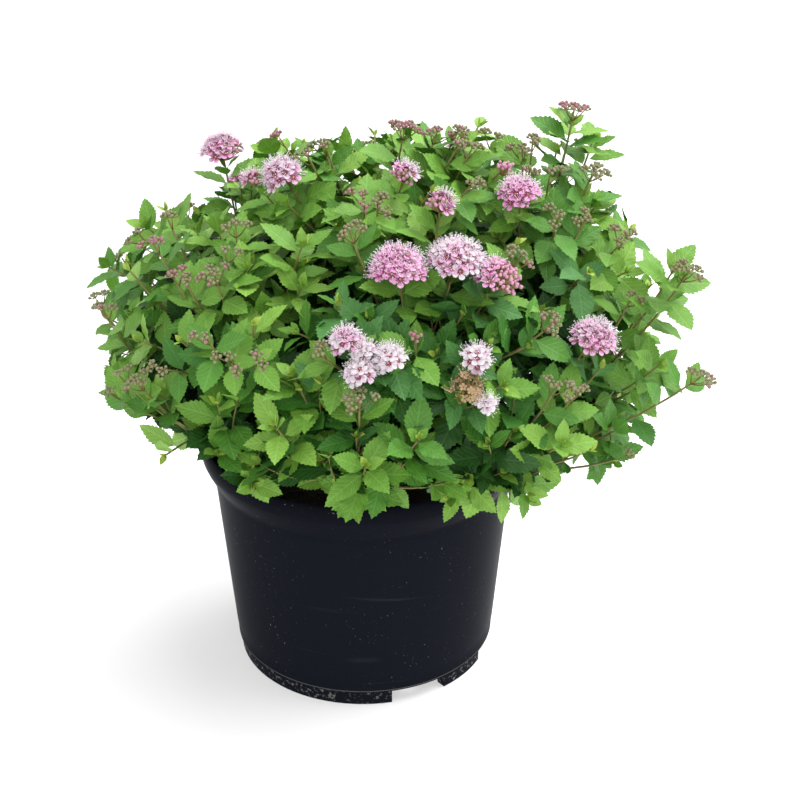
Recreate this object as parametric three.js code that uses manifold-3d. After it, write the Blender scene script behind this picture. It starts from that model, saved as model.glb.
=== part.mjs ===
// Spirea shrub in its nursery pot, as an assembly of separate solids: the pot, the potting mix, a woody
// stool inside, one arching stem for each mass of foliage, and the masses of leaves, buds and flowers.
//
// Millimetres, +Z up. The origin lies on the ground under the pot's axis, and -Y is the front.
// Azimuths run anticlockwise from +X, seen from above; elevations rise from the level at the stool.

import * as THREE from 'three';
import { mergeVertices } from 'three/addons/utils/BufferGeometryUtils.js';
import Module from 'manifold-3d';

const wasm = await Module();
wasm.setup();

// ---------------------------------------------------------------- driving sizes

const CLEARANCE = 0.3; // between solids that rest on or grow from each other

const POT = {
  height: 141,
  rimRadius: 95, // the widest part of the rolled collar
  collarHeight: 23, // from the collar's lower edge to the rim
  collarRoll: 13, // height of the flank below the widest part
  collarFullness: 0.75, // how far that flank bulges, 0.5 being straight
  bodyTopRadius: 87,
  bodyBaseRadius: 77.4,
  lipInset: 2.4, // the rim's top edge stands in from the widest part
  wall: 1.8,
  floorThickness: 2.5,
  footHeight: 9,
  footRadius: 76,
  footWidth: 6,
  notchAngle: 26, // degrees, and each short foot between two notches is as wide
  firstNotch: -77, // azimuth where the first notch starts
  drainRadius: 6.5,
  drainCircle: 62, // radius of the circle that the drain holes stand on
  sides: 32,
};

const SOIL = { levelAtWall: 119, levelAtStool: 123, moundRadius: 19, sides: 32 };

const STOOL = { radius: 15, footSpread: 1.15, sides: 12, rings: 4 };

const STEM = {
  rootRadius: 2.7,
  tipRadius: 1.8,
  sides: 6,
  steps: 4,
  reachShare: 0.42, // a stem ends at this share of the way to the crown's surface
};

// The crown's surface round the point where the stems leave: half an ellipsoid above its widest level
// and a flatter one below, swollen by a few lobes.
const CROWN = {
  centre: new THREE.Vector3(9, 0, 180),
  radius: 157,
  heightAbove: 138,
  depthBelow: 58,
  lowestElevation: 12, // of the shoots, seen from where the stems leave
  skirtHeight: 142, // no leaf hangs lower, halfway between front and back
  skirtSlope: -0.12, // the leaves hang lower toward the back
  overRim: 2, // a leaf passes this far over the pot's rim, or this far outside it
  halfWidth: 179, // no leaf reaches further from the middle, to the left or right
};

const LOBES = [
  { azimuth: 15, elevation: 52, swell: 22, spread: 26 },
  { azimuth: -5, elevation: 24, swell: 5, spread: 24 },
  { azimuth: -35, elevation: 20, swell: 6, spread: 18 },
  { azimuth: 180, elevation: 42, swell: 6, spread: 20 },
  { azimuth: 147, elevation: 17, swell: 36, spread: 19 },
  { azimuth: -90, elevation: 60, swell: -6, spread: 30 },
];

// Rings of foliage masses, each on its own stem.
const TIERS = [
  { name: 'lower', count: 9, elevation: 22, turn: -90, rootElevation: 34 },
  { name: 'middle', count: 5, elevation: 48, turn: -68, rootElevation: 58 },
  { name: 'top', count: 1, elevation: 87, turn: 20, rootElevation: 88 },
];

const MASS = {
  stemRadius: 1.6,
  stemSteps: 2,
  shoots: 94, // over the whole crown
  gap: 0.8, // between the spaces of two neighbouring masses
  skin: 5, // how far a leaf may stand out of the crown's surface
};

// A mass's core: where its middle lies and how deep it is, as shares of the way to the crown's surface,
// how much of the mass's width it fills, its greatest width for its height, and how far it stays over
// the pot's rim.
const CORE = { share: 0.63, depth: 0.17, fill: 0.86, widest: 1.6, overPot: 5 };

const SHOOT = {
  rootRadius: 1.3,
  tipRadius: 0.9,
  sides: 3,
  steps: 1,
  bend: 8,
  tipDepth: 21, // least depth of a shoot's tip under the crown's surface
  depthSpread: 12,
  leaderDepth: 31, // the same for a leader, under its own furthest leaf
  roomAtTip: 14,
  leafyShare: 0.8, // leaves grow on this share of a shoot's length
};

const LEAF = {
  length: 38,
  width: 26,
  fold: 2.6,
  rootHeight: 1.1, // the leaf thins out from its root to its tip and sides
  widestAt: 0.42,
  tipDrop: 1.5,
  freeFrom: 0.2, // share of its length beyond which a leaf touches no twig
  lookUp: 0.55, // how far the blades turn from facing along their shoot to facing the sky
  nudges: [0, 0.45, -0.45, 0.9, -0.9, 1.4, -1.4, 2, -2, 2.6],
};

// Along a shoot: how far each leaf's root is from the shoot's tip, and how far the leaf leans out.
const LEAVES = [
  { back: 1, lean: 38 },
  { back: 4, lean: 58 },
  { back: 9, lean: 66 },
  { back: 15, lean: 68 },
  { back: 23, lean: 70 },
];

const GOLDEN_ANGLE = Math.PI * (3 - Math.sqrt(5));

// Shoots that stand out of the crown's outline, by their tips.
const LEADERS = [
  { azimuth: 15, elevation: 56, beyond: 27 },
  { azimuth: 3, elevation: 51, beyond: 16 },
  { azimuth: -17, elevation: 44, beyond: 34 },
  { azimuth: -23, elevation: 34, beyond: 42 },
  { azimuth: -33, elevation: 22, beyond: 38 },
  { azimuth: -37, elevation: 17, beyond: 18 },
  { azimuth: -56, elevation: 16, beyond: 12 },
  { azimuth: 141, elevation: 70, beyond: 10 },
  { azimuth: 174, elevation: 48, beyond: 9 },
  { azimuth: 163, elevation: 33, beyond: 10 },
  { azimuth: 148, elevation: 19, beyond: 22 },
];

// Flower heads in bloom, by the middle of each dome.
const FLOWER_HEADS = [
  { azimuth: 155, elevation: 64, across: 28, beyond: 9 },
  { azimuth: -147, elevation: 74, across: 28, beyond: 0 },
  { azimuth: -61, elevation: 76, across: 20, beyond: 0 },
  { azimuth: -56, elevation: 67, across: 20, beyond: 0 },
  { azimuth: -29, elevation: 62, across: 27, beyond: 0 },
  { azimuth: -77, elevation: 58, across: 34, beyond: 0 },
  { azimuth: -60, elevation: 56, across: 36, beyond: 0 },
  { azimuth: -50, elevation: 50, across: 24, beyond: 0 },
  { azimuth: -92, elevation: 45, across: 30, beyond: 0 },
  { azimuth: -84, elevation: 40, across: 30, beyond: 0 },
  { azimuth: -65, elevation: 40, across: 20, beyond: 0 },
  { azimuth: -68, elevation: 34, across: 24, beyond: 0 },
  { azimuth: -38, elevation: 37, across: 30, beyond: 0 },
  { azimuth: 60, elevation: 52, across: 28, beyond: 0 },
  { azimuth: 95, elevation: 38, across: 30, beyond: 0 },
  { azimuth: 128, elevation: 56, across: 26, beyond: 0 },
  { azimuth: 40, elevation: 30, across: 26, beyond: 0 },
];

// A dome's height over its width, the shares of that height under and over its middle at its rim, its
// shoulder and its top, and the widths of its rim and shoulder.
const BLOOM = { sides: 7, depth: 0.55, below: 0.35, rim: -0.1, shoulder: 0.35, top: 0.65, rimWidth: 0.88,
  shoulderWidth: 0.8 };

const BUDS = { share: 0.38, across: 12, depth: 9, sunk: 1 }; // share: of the shoots that end in buds

const COLOURS = {
  pot: 0x1f2024,
  soil: 0x2e231b,
  bark: 0x7a5637,
  leaves: [0x5d9a36, 0x4c8a30, 0x6fa83f, 0x3f7a30],
};

// ---------------------------------------------------------------- small helpers

const UP = new THREE.Vector3(0, 0, 1);

// A repeatable number from 0 to 1 for a thing's index.
function chance(index, salt) {
  const wave = Math.sin(index * 12.9898 + salt * 78.233) * 43758.5453;
  return wave - Math.floor(wave);
}

function direction(azimuth, elevation) {
  const turn = THREE.MathUtils.degToRad(azimuth);
  const rise = THREE.MathUtils.degToRad(elevation);
  const level = Math.cos(rise);
  return new THREE.Vector3(level * Math.cos(turn), level * Math.sin(turn), Math.sin(rise));
}

// Turns lathe and extrude shapes, made about Y, so that their axis stands along +Z.
function standing(geometry) {
  return geometry.rotateX(Math.PI / 2);
}

function toSolid(geometry) {
  const bare = geometry.clone();
  bare.deleteAttribute('normal');
  bare.deleteAttribute('uv');
  const merged = mergeVertices(bare, 1e-4);
  return new wasm.Manifold(new wasm.Mesh({
    numProp: 3,
    vertProperties: merged.attributes.position.array,
    triVerts: new Uint32Array(merged.index.array),
  }));
}

function toGeometry(solid) {
  const mesh = solid.getMesh();
  const geometry = new THREE.BufferGeometry();
  geometry.setAttribute('position', new THREE.BufferAttribute(mesh.vertProperties, 3));
  geometry.setIndex(new THREE.BufferAttribute(mesh.triVerts, 1));
  geometry.computeVertexNormals();
  return geometry;
}

function joined(solids) {
  return solids.reduce((whole, piece) => whole.add(piece));
}

function named(name, geometry, color, roughness) {
  const material = new THREE.MeshStandardMaterial({ color, roughness, metalness: 0, flatShading: true });
  const mesh = new THREE.Mesh(geometry, material);
  mesh.name = name;
  return mesh;
}

// A tapering rod bent along a curve.
function limb(curve, rootRadius, tipRadius, sides, steps) {
  const rod = new THREE.CylinderGeometry(tipRadius, rootRadius, 1, sides, steps);
  const frames = curve.computeFrenetFrames(steps);
  const at = rod.attributes.position;
  for (let i = 0; i < at.count; i++) {
    const step = Math.round((at.getY(i) + 0.5) * steps);
    const point = curve.getPointAt(step / steps)
      .addScaledVector(frames.normals[step], at.getX(i))
      .addScaledVector(frames.binormals[step], -at.getZ(i));
    at.setXYZ(i, point.x, point.y, point.z);
  }
  return rod;
}

// A point inside such a rod, on the chords between its rings, and the way it runs there.
function inRod(curve, share, steps) {
  const step = Math.min(steps - 1, Math.floor(share * steps));
  const from = curve.getPointAt(step / steps);
  const to = curve.getPointAt((step + 1) / steps);
  return { point: from.clone().lerp(to, share * steps - step), onward: to.sub(from).normalize() };
}

// ---------------------------------------------------------------- pot and potting mix

const bodyTop = POT.height - POT.collarHeight;
const widestHeight = bodyTop + POT.collarRoll;
const collarSwell = POT.rimRadius - POT.bodyTopRadius;

// The wall's outside, from the seam above the foot up to the rim, set in by some depth.
function wallOutline(inset) {
  const outline = new THREE.Path();
  outline.moveTo(POT.bodyBaseRadius - inset, POT.footHeight);
  outline.lineTo(POT.bodyTopRadius - inset, bodyTop);
  outline.quadraticCurveTo(
    POT.bodyTopRadius + POT.collarFullness * collarSwell - inset, bodyTop + POT.collarRoll / 2,
    POT.rimRadius - inset, widestHeight,
  );
  outline.lineTo(POT.rimRadius - inset, POT.height - 2 * POT.lipInset);
  outline.lineTo(POT.rimRadius - POT.lipInset / 2 - inset, POT.height - POT.lipInset / 2);
  return outline.getPoints(2);
}

function potFoot(azimuth, angle) {
  const start = THREE.MathUtils.degToRad(azimuth);
  const end = THREE.MathUtils.degToRad(azimuth + angle);
  const sector = new THREE.Shape();
  sector.absarc(0, 0, POT.footRadius, start, end, false);
  sector.absarc(0, 0, POT.footRadius - POT.footWidth, end, start, true);
  const sink = POT.floorThickness / 2;
  return new THREE.ExtrudeGeometry(sector, {
    depth: POT.footHeight + sink,
    bevelEnabled: false,
    curveSegments: Math.ceil(angle / 13),
  });
}

function drainHole(azimuth, radius) {
  const hole = standing(new THREE.CylinderGeometry(POT.drainRadius, POT.drainRadius, POT.footHeight, 8));
  const place = direction(azimuth, 0).multiplyScalar(radius);
  return hole.translate(place.x, place.y, POT.footHeight);
}

function potShell() {
  const floorTop = POT.footHeight + POT.floorThickness;
  const outside = wallOutline(0);
  const inside = wallOutline(POT.wall).slice(1).reverse();
  const lip = new THREE.Vector2(POT.rimRadius - POT.lipInset, POT.height);
  const profile = [
    new THREE.Vector2(0, POT.footHeight),
    ...outside,
    lip,
    ...inside,
    new THREE.Vector2(POT.bodyBaseRadius - POT.wall, floorTop),
    new THREE.Vector2(0, floorTop),
  ];
  let shell = toSolid(standing(new THREE.LatheGeometry(profile, POT.sides)));

  // Round the ring run, twice: a notch, a short foot, a notch and a long foot.
  for (const half of [0, 180]) {
    const notch = POT.firstNotch + half;
    const shortFoot = notch + POT.notchAngle;
    const secondNotch = shortFoot + POT.notchAngle;
    const longFoot = secondNotch + POT.notchAngle;
    shell = shell.add(toSolid(potFoot(shortFoot, POT.notchAngle)));
    shell = shell.add(toSolid(potFoot(longFoot, 180 - 3 * POT.notchAngle)));
    for (const start of [notch, secondNotch]) {
      shell = shell.subtract(toSolid(drainHole(start + POT.notchAngle / 2, POT.drainCircle)));
    }
  }
  return toGeometry(shell.subtract(toSolid(drainHole(0, 0))));
}

// The inner radius of the pot's body at a height.
function innerRadius(height) {
  const rise = (height - POT.footHeight) / (bodyTop - POT.footHeight);
  return THREE.MathUtils.lerp(POT.bodyBaseRadius, POT.bodyTopRadius, rise) - POT.wall;
}

function pottingMix() {
  const bottom = POT.footHeight + POT.floorThickness + CLEARANCE;
  const shrink = Math.cos(Math.PI / SOIL.sides);
  const radiusAt = (height) => innerRadius(height) * shrink - CLEARANCE;
  const profile = [
    new THREE.Vector2(0, bottom),
    new THREE.Vector2(radiusAt(bottom), bottom),
    new THREE.Vector2(radiusAt(bodyTop), bodyTop),
    new THREE.Vector2(radiusAt(bodyTop), SOIL.levelAtWall),
    new THREE.Vector2(SOIL.moundRadius, SOIL.levelAtStool),
    new THREE.Vector2(0, SOIL.levelAtStool),
  ];
  return standing(new THREE.LatheGeometry(profile, SOIL.sides));
}

// ---------------------------------------------------------------- stool and stems

const stoolFoot = SOIL.levelAtStool + CLEARANCE;
const heart = new THREE.Vector3(0, 0, stoolFoot); // where all the stems come from

function stool() {
  const profile = [new THREE.Vector2(0, 0), new THREE.Vector2(STOOL.radius * STOOL.footSpread, 0)];
  for (let ring = 1; ring < STOOL.rings; ring++) {
    const angle = (ring / STOOL.rings) * (Math.PI / 2);
    profile.push(new THREE.Vector2(Math.cos(angle) * STOOL.radius, Math.sin(angle) * STOOL.radius));
  }
  profile.push(new THREE.Vector2(0, STOOL.radius));
  return standing(new THREE.LatheGeometry(profile, STOOL.sides)).translate(0, 0, stoolFoot);
}

// How far the crown's surface lies from the heart, in a direction.
function crownReach(toward) {
  const way = toward.clone().normalize();
  const offset = heart.clone().sub(CROWN.centre);
  let reach = 0;
  for (const [height, above] of [[CROWN.heightAbove, true], [CROWN.depthBelow, false]]) {
    const scale = new THREE.Vector3(1 / CROWN.radius, 1 / CROWN.radius, 1 / height);
    const d = way.clone().multiply(scale);
    const o = offset.clone().multiply(scale);
    const half = d.dot(o);
    const root = half * half - d.dot(d) * (o.dot(o) - 1);
    if (root < 0) continue;
    const far = (-half + Math.sqrt(root)) / d.dot(d);
    if ((heart.z + far * way.z >= CROWN.centre.z) === above) reach = Math.max(reach, far);
  }
  for (const lobe of LOBES) {
    const apart = way.angleTo(direction(lobe.azimuth, lobe.elevation));
    reach += lobe.swell * Math.exp(-((THREE.MathUtils.radToDeg(apart) / lobe.spread) ** 2));
  }
  return reach;
}

// The foliage masses: where each lies, and the stem that carries it.
const masses = TIERS.flatMap((tier, level) => Array.from({ length: tier.count }, (_, i) => {
  const azimuth = tier.turn + (360 * i) / tier.count;
  const toward = direction(azimuth, tier.elevation);
  const root = direction(azimuth, tier.rootElevation);
  const start = heart.clone().addScaledVector(root, STOOL.radius + CLEARANCE);
  const end = heart.clone().addScaledVector(toward, STEM.reachShare * crownReach(toward));
  const bend = start.clone().addScaledVector(root, start.distanceTo(end) / 2);
  return {
    label: `${tier.name}_${i + 1}`,
    level,
    toward,
    curve: new THREE.QuadraticBezierCurve3(start, bend, end),
  };
}));

// ---------------------------------------------------------------- foliage

// How deep a point lies inside a mass's wedge of the crown, from the nearest border to another mass.
function room(mass, point, others = masses) {
  const out = point.clone().sub(heart);
  const borders = others.filter((other) => other !== mass)
    .map((other) => mass.toward.clone().sub(other.toward).normalize());
  return Math.min(...borders.map((across) => out.dot(across))) - MASS.gap / 2;
}

// Whether a point keeps to a mass's own space: its wedge, beyond the tip of the stem that carries it,
// and no further out of the crown's surface than the skin.
function inSpace(mass, point, skin) {
  if (point.clone().sub(mass.curve.getPoint(1)).dot(mass.curve.getTangent(1)) < CLEARANCE) return false;
  if (room(mass, point) < 0 || Math.abs(point.x) > CROWN.halfWidth) return false;
  const out = point.clone().sub(heart);
  const rise = THREE.MathUtils.radToDeg(Math.asin(out.z / out.length()));
  const azimuth = THREE.MathUtils.radToDeg(Math.atan2(out.y, out.x));
  const surface = crownReach(direction(azimuth, Math.max(rise, CROWN.lowestElevation)));
  return out.length() <= surface + skin;
}

// Whether a shape's corners all clear the pot's rim and the lowest level of the leaves.
function clearOfPot(points) {
  const lowest = Math.min(...points.map((p) => p.z));
  const nearest = Math.min(...points.map((p) => Math.hypot(p.x, p.y)));
  if (points.some((p) => p.z < CROWN.skirtHeight + CROWN.skirtSlope * p.y)) return false;
  return lowest > POT.height + CROWN.overRim || nearest > POT.rimRadius + CROWN.overRim;
}

// A folded, pointed leaf: the upper and lower end of its root, its two sides, and its tip.
function leafCorners(root, along, facing) {
  const normal = facing.clone().addScaledVector(along, -facing.dot(along)).normalize();
  const side = new THREE.Vector3().crossVectors(normal, along);
  const at = (forward, sideways, height) => root.clone()
    .addScaledVector(along, forward * LEAF.length)
    .addScaledVector(side, sideways)
    .addScaledVector(normal, height);
  return [
    at(0, 0, LEAF.rootHeight / 2),
    at(0, 0, -LEAF.rootHeight / 2),
    at(LEAF.widestAt, LEAF.width / 2, LEAF.fold),
    at(LEAF.widestAt, -LEAF.width / 2, LEAF.fold),
    at(1, 0, -LEAF.tipDrop),
  ];
}

const LEAF_FACES = [
  [0, 4, 2], [0, 3, 4], // upper
  [1, 2, 4], [1, 4, 3], // lower
  [0, 2, 1], [0, 1, 3], // beside the root
].flat();

function leafSolid(corners) {
  return toSolid(new THREE.BufferGeometry().setFromPoints(corners).setIndex(LEAF_FACES));
}

// The leaves of one mass. Each shoot's leaves turn on by the golden angle, and a leaf that would leave
// the mass's space, or cross a twig or another leaf, is tried further round and then skipped.
function leavesOn(mass, shoots, wood) {
  const leaves = [];
  LEAVES.forEach(({ back, lean }, rank) => {
    for (const { curve, seed, skin } of shoots) {
      const length = curve.getLength();
      if (back > length * SHOOT.leafyShare) continue;
      const { point: root, onward } = inRod(curve, 1 - back / length, SHOOT.steps);
      const sideways = new THREE.Vector3().crossVectors(onward, UP).normalize();
      const tilt = THREE.MathUtils.degToRad(lean);
      const facing = onward.clone().addScaledVector(UP, LEAF.lookUp);
      for (const nudge of LEAF.nudges) {
        const turn = (rank + seed) * GOLDEN_ANGLE + nudge;
        const outward = sideways.clone().applyAxisAngle(onward, turn);
        const along = onward.clone().multiplyScalar(Math.cos(tilt))
          .addScaledVector(outward, Math.sin(tilt));
        const corners = leafCorners(root, along, facing);
        if (!corners.every((corner) => inSpace(mass, corner, skin)) || !clearOfPot(corners)) continue;
        const pastRoot = along.clone().multiplyScalar(LEAF.length * LEAF.freeFrom);
        const outer = corners.map((corner, k) => (k < 2 ? corner.clone().add(pastRoot) : corner));
        if (!wood.intersect(leafSolid(outer)).isEmpty()) continue;
        const box = new THREE.Box3().setFromPoints(corners);
        const solid = leafSolid(corners);
        const crosses = (leaf) => leaf.box.intersectsBox(box) && !leaf.solid.intersect(solid).isEmpty();
        if (leaves.some(crosses)) continue;
        leaves.push({ box, solid });
        break;
      }
    }
  });
  return leaves.map((leaf) => leaf.solid);
}

// A mass's own stem goes on from the tip of the stem that carries it, into the mass's core.
function massStem(mass) {
  const onward = mass.curve.getTangent(1);
  const start = mass.curve.getPoint(1).addScaledVector(onward, CLEARANCE);
  const end = heart.clone().addScaledVector(mass.toward, CORE.share * crownReach(mass.toward));
  const bend = start.clone().addScaledVector(onward, start.distanceTo(end) / 2);
  return new THREE.QuadraticBezierCurve3(start, bend, end);
}

// The crown is dense: each mass has a core, smaller than its space, that its shoots stand out of.
function core(mass) {
  const reach = crownReach(mass.toward);
  const middle = heart.clone().addScaledVector(mass.toward, CORE.share * reach);
  const above = room(mass, middle, masses.filter((other) => other.level !== mass.level));
  const inTier = room(mass, middle, masses.filter((other) => other.level === mass.level));
  const beside = Math.min(inTier, CORE.widest * above);
  const overPot = middle.z - POT.height - CORE.overPot;
  const level = new THREE.Vector3().crossVectors(UP, mass.toward).normalize();
  const upright = new THREE.Vector3().crossVectors(mass.toward, level);
  return new THREE.OctahedronGeometry(1, 1)
    .scale(beside * CORE.fill, Math.min(above * CORE.fill, overPot), CORE.depth * reach)
    .applyMatrix4(new THREE.Matrix4().makeBasis(level, upright, mass.toward))
    .translate(middle.x, middle.y, middle.z);
}

// Moves a shape made about the origin to a place, its +Z axis turned outward.
function placed(geometry, place, outward) {
  const turn = new THREE.Quaternion().setFromUnitVectors(UP, outward);
  return geometry.applyQuaternion(turn).translate(place.x, place.y, place.z);
}

// A shoot leaves the mass's stem inside the core and bends out to its tip.
function shootCurve(stem, tip) {
  const start = stem.getPoint(1);
  const onward = stem.getTangent(1);
  const bend = start.clone().lerp(tip, 0.5).addScaledVector(onward, SHOOT.bend);
  return new THREE.QuadraticBezierCurve3(start, bend, tip);
}

function budCluster(tip, outward) {
  const cluster = new THREE.OctahedronGeometry(1).scale(BUDS.across / 2, BUDS.across / 2, BUDS.depth / 2);
  return placed(cluster, tip.clone().addScaledVector(outward, BUDS.depth / 2 - BUDS.sunk), outward);
}

function flowerDome(middle, outward, across) {
  const depth = across * BLOOM.depth;
  const profile = [
    new THREE.Vector2(0, -BLOOM.below * depth),
    new THREE.Vector2((BLOOM.rimWidth * across) / 2, BLOOM.rim * depth),
    new THREE.Vector2((BLOOM.shoulderWidth * across) / 2, BLOOM.shoulder * depth),
    new THREE.Vector2(0, BLOOM.top * depth),
  ];
  return placed(standing(new THREE.LatheGeometry(profile, BLOOM.sides)), middle, outward);
}

function nearestMass(toward) {
  return masses.reduce((best, mass) => (
    mass.toward.dot(toward) > best.toward.dot(toward) ? mass : best));
}

// The place nearest to a wished one, beyond the crown's surface by some length, where a thing of some
// size has room inside its mass's space.
function placeFor(mass, toward, beyond, size) {
  for (let share = 0; share < 1; share += 0.05) {
    const way = toward.clone().lerp(mass.toward, share).normalize();
    const place = heart.clone().addScaledVector(way, crownReach(way) + beyond);
    if (room(mass, place) > size / 2) return place;
  }
  return heart.clone().addScaledVector(mass.toward, crownReach(mass.toward) + beyond);
}

// Evenly spread directions over the crown, from its lowest leaves to its top.
const shootDirections = Array.from({ length: MASS.shoots }, (_, k) => {
  const low = Math.sin(THREE.MathUtils.degToRad(CROWN.lowestElevation));
  const rise = Math.asin(low + (1 - low) * ((k + 0.5) / MASS.shoots));
  const azimuth = THREE.MathUtils.radToDeg(k * GOLDEN_ANGLE);
  return direction(azimuth, THREE.MathUtils.radToDeg(rise));
});

// The things of a list, each placed by its azimuth and elevation, that fall to a mass.
function ofMass(mass, list) {
  return list.map((thing, index) => ({ ...thing, index, toward: direction(thing.azimuth, thing.elevation) }))
    .filter((thing) => nearestMass(thing.toward) === mass);
}

function foliage(mass) {
  const stem = massStem(mass);
  const shoots = [];
  const ends = [];
  shootDirections.forEach((toward, seed) => {
    if (nearestMass(toward) !== mass) return;
    const depth = SHOOT.tipDepth + SHOOT.depthSpread * chance(seed, 5);
    const curve = shootCurve(stem, placeFor(mass, toward, -depth, SHOOT.roomAtTip));
    shoots.push({ curve, seed, skin: MASS.skin });
    if (chance(seed, 7) < BUDS.share) ends.push(budCluster(curve.getPoint(1), curve.getTangent(1)));
  });
  ofMass(mass, LEADERS).forEach(({ toward, beyond, index }) => {
    const curve = shootCurve(stem, placeFor(mass, toward, beyond - SHOOT.leaderDepth, SHOOT.roomAtTip));
    shoots.push({ curve, seed: index + MASS.shoots, skin: beyond });
  });
  const twigs = shoots.map(({ curve }) => curve);
  ofMass(mass, FLOWER_HEADS).forEach(({ toward, across, beyond }) => {
    const curve = shootCurve(stem, placeFor(mass, toward, beyond, across));
    twigs.push(curve);
    ends.push(flowerDome(curve.getPoint(1), curve.getTangent(1), across));
  });
  const wood = joined([
    limb(stem, MASS.stemRadius, MASS.stemRadius, SHOOT.sides, MASS.stemSteps),
    core(mass),
    ...twigs.map((curve) => limb(curve, SHOOT.rootRadius, SHOOT.tipRadius, SHOOT.sides, SHOOT.steps)),
    ...ends,
  ].map(toSolid));
  return toGeometry(joined([wood, ...leavesOn(mass, shoots, wood)]));
}

// ---------------------------------------------------------------- assembly

const shrub = new THREE.Group();
shrub.add(named('pot', potShell(), COLOURS.pot, 0.5));
shrub.add(named('potting_mix', pottingMix(), COLOURS.soil, 1));
shrub.add(named('stool', stool(), COLOURS.bark, 0.9));
masses.forEach((mass, i) => {
  const stem = limb(mass.curve, STEM.rootRadius, STEM.tipRadius, STEM.sides, STEM.steps);
  shrub.add(named(`stem_${mass.label}`, stem, COLOURS.bark, 0.85));
  shrub.add(named(`foliage_${mass.label}`, foliage(mass), COLOURS.leaves[i % 4], 0.7));
});

export default shrub;
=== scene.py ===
"""A low spirea in flower in its black nursery pot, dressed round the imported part.

The wood and foliage grow by the rule that the part's solids have: shoots whose tips are spread evenly over
the crown, each from the stem of the foliage mass that it falls to. Here each shoot carries finer twigs,
within the same reach. Growth is worked out in millimetres and turned to metres when a mesh is made.
Azimuths run anticlockwise from +X seen from above, and elevations rise from the level at the stool.
"""

import math
from collections import namedtuple

import bmesh
import bpy
import numpy as np
from bpy.props import FloatProperty, FloatVectorProperty, IntProperty, PointerProperty
from mathutils import Matrix, Vector, noise


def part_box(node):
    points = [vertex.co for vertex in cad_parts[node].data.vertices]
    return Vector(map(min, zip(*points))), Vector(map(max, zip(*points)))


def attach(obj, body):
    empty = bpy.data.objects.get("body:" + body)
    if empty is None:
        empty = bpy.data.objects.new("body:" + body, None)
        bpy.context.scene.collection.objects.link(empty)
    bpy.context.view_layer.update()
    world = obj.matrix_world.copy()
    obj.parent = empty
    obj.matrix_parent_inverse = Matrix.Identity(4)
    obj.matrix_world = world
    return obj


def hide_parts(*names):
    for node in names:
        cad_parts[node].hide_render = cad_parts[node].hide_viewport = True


bl_info = {
    "name": "Potted Spirea",
    "version": (1, 0, 0),
    "blender": (4, 5, 0),
    "location": "View3D > Sidebar > Spirea",
    "description": "Builds a flowering dwarf spirea and its nursery pot round the packed part",
    "category": "Object",
}

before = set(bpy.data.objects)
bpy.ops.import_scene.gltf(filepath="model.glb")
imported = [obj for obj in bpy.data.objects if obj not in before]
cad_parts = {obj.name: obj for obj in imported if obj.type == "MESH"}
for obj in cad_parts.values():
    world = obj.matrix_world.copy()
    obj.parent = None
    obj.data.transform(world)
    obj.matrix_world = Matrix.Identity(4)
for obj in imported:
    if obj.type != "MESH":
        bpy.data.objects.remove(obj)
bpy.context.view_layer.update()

MM = 0.001
UP = np.array([0.0, 0.0, 1.0])
FULL_TURN = 2 * math.pi
GOLDEN_ANGLE = math.pi * (3 - math.sqrt(5))


def linear(code):
    """The linear colour of an sRGB hex code."""
    values = (int(code[i : i + 2], 16) / 255 for i in (1, 3, 5))
    return tuple(v / 12.92 if v <= 0.04045 else ((v + 0.055) / 1.055) ** 2.4 for v in values)


# ------------------------------------------------------------------ sizes and colours to change


def colour(name, code, description):
    kind = {"subtype": "COLOR", "size": 3, "min": 0, "max": 1}
    return FloatVectorProperty(name=name, description=description, default=linear(code), **kind)


def length(name, millimetres, description):
    return FloatProperty(name=name, description=description, unit="LENGTH", min=0, default=millimetres * MM)


pot_low, pot_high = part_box("pot")


class SPIREA_PG_pot(bpy.types.PropertyGroup):
    height: length("Height", pot_high.z / MM, "From the ground to the rim")
    rim_radius: length("Rim radius", (pot_high.x - pot_low.x) / 2 / MM, "At the rolled collar's widest part")
    wall: length("Wall", 1.8, "Thickness of the moulded wall")
    foot_height: length("Foot height", 9, "From the ground to the seam above the foot ring")
    plastic: colour("Plastic", "#15171f", "The pot's moulded plastic")
    dust: colour("Dust", "#a9a7a0", "Dry splashes and limescale on the plastic")
    mix: colour("Potting mix", "#231a14", "Peat and bark")


class SPIREA_PG_leaves(bpy.types.PropertyGroup):
    length: length("Leaf length", 22.5, "A grown leaf from stalk to tip")
    width_share: FloatProperty(
        name="Width share", description="A leaf's width over its length", default=0.52, min=0.1, max=1
    )
    twigs: IntProperty(name="Twigs", description="Fine twigs over the whole crown", default=205, min=1)
    inner_twigs: IntProperty(
        name="Inner twigs", description="Shaded twigs deeper in the crown", default=250, min=1
    )
    # Besides young sprays, lime and bright stand for painted light where light comes through the crown; deep
    # and shade are painted shade, dealt deep inside it and low along its underside.
    lime: colour("Lime", "#7eac42", "The youngest sprays")
    bright: colour("Bright", "#689a34", "Young sprays")
    green: colour("Green", "#50882b", "Grown sprays")
    # The deep and shade greens are painted shade, where shade falls inside the crown.
    deep: colour("Deep", "#3a7422", "Old leaves inside the crown")
    shade: colour("Shade", "#28561a", "Old leaves low inside the crown, where little light comes")
    blue: colour("Blue green", "#4a813c", "Leaves of the flowering shoots")
    golden: colour("Golden", "#a3bd50", "Leaves just unfolding at a tip")


class SPIREA_PG_wood(bpy.types.PropertyGroup):
    stem_radius: length("Stem radius", 2.7, "A stem where it leaves the stool")
    bark: colour("Bark", "#7d5a3c", "Old stems and the stool")
    twig: colour("Twig", "#8b854a", "This year's shoots")
    stalk: colour("Stalk", "#9a8a58", "Stalks of flowers and buds")


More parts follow.
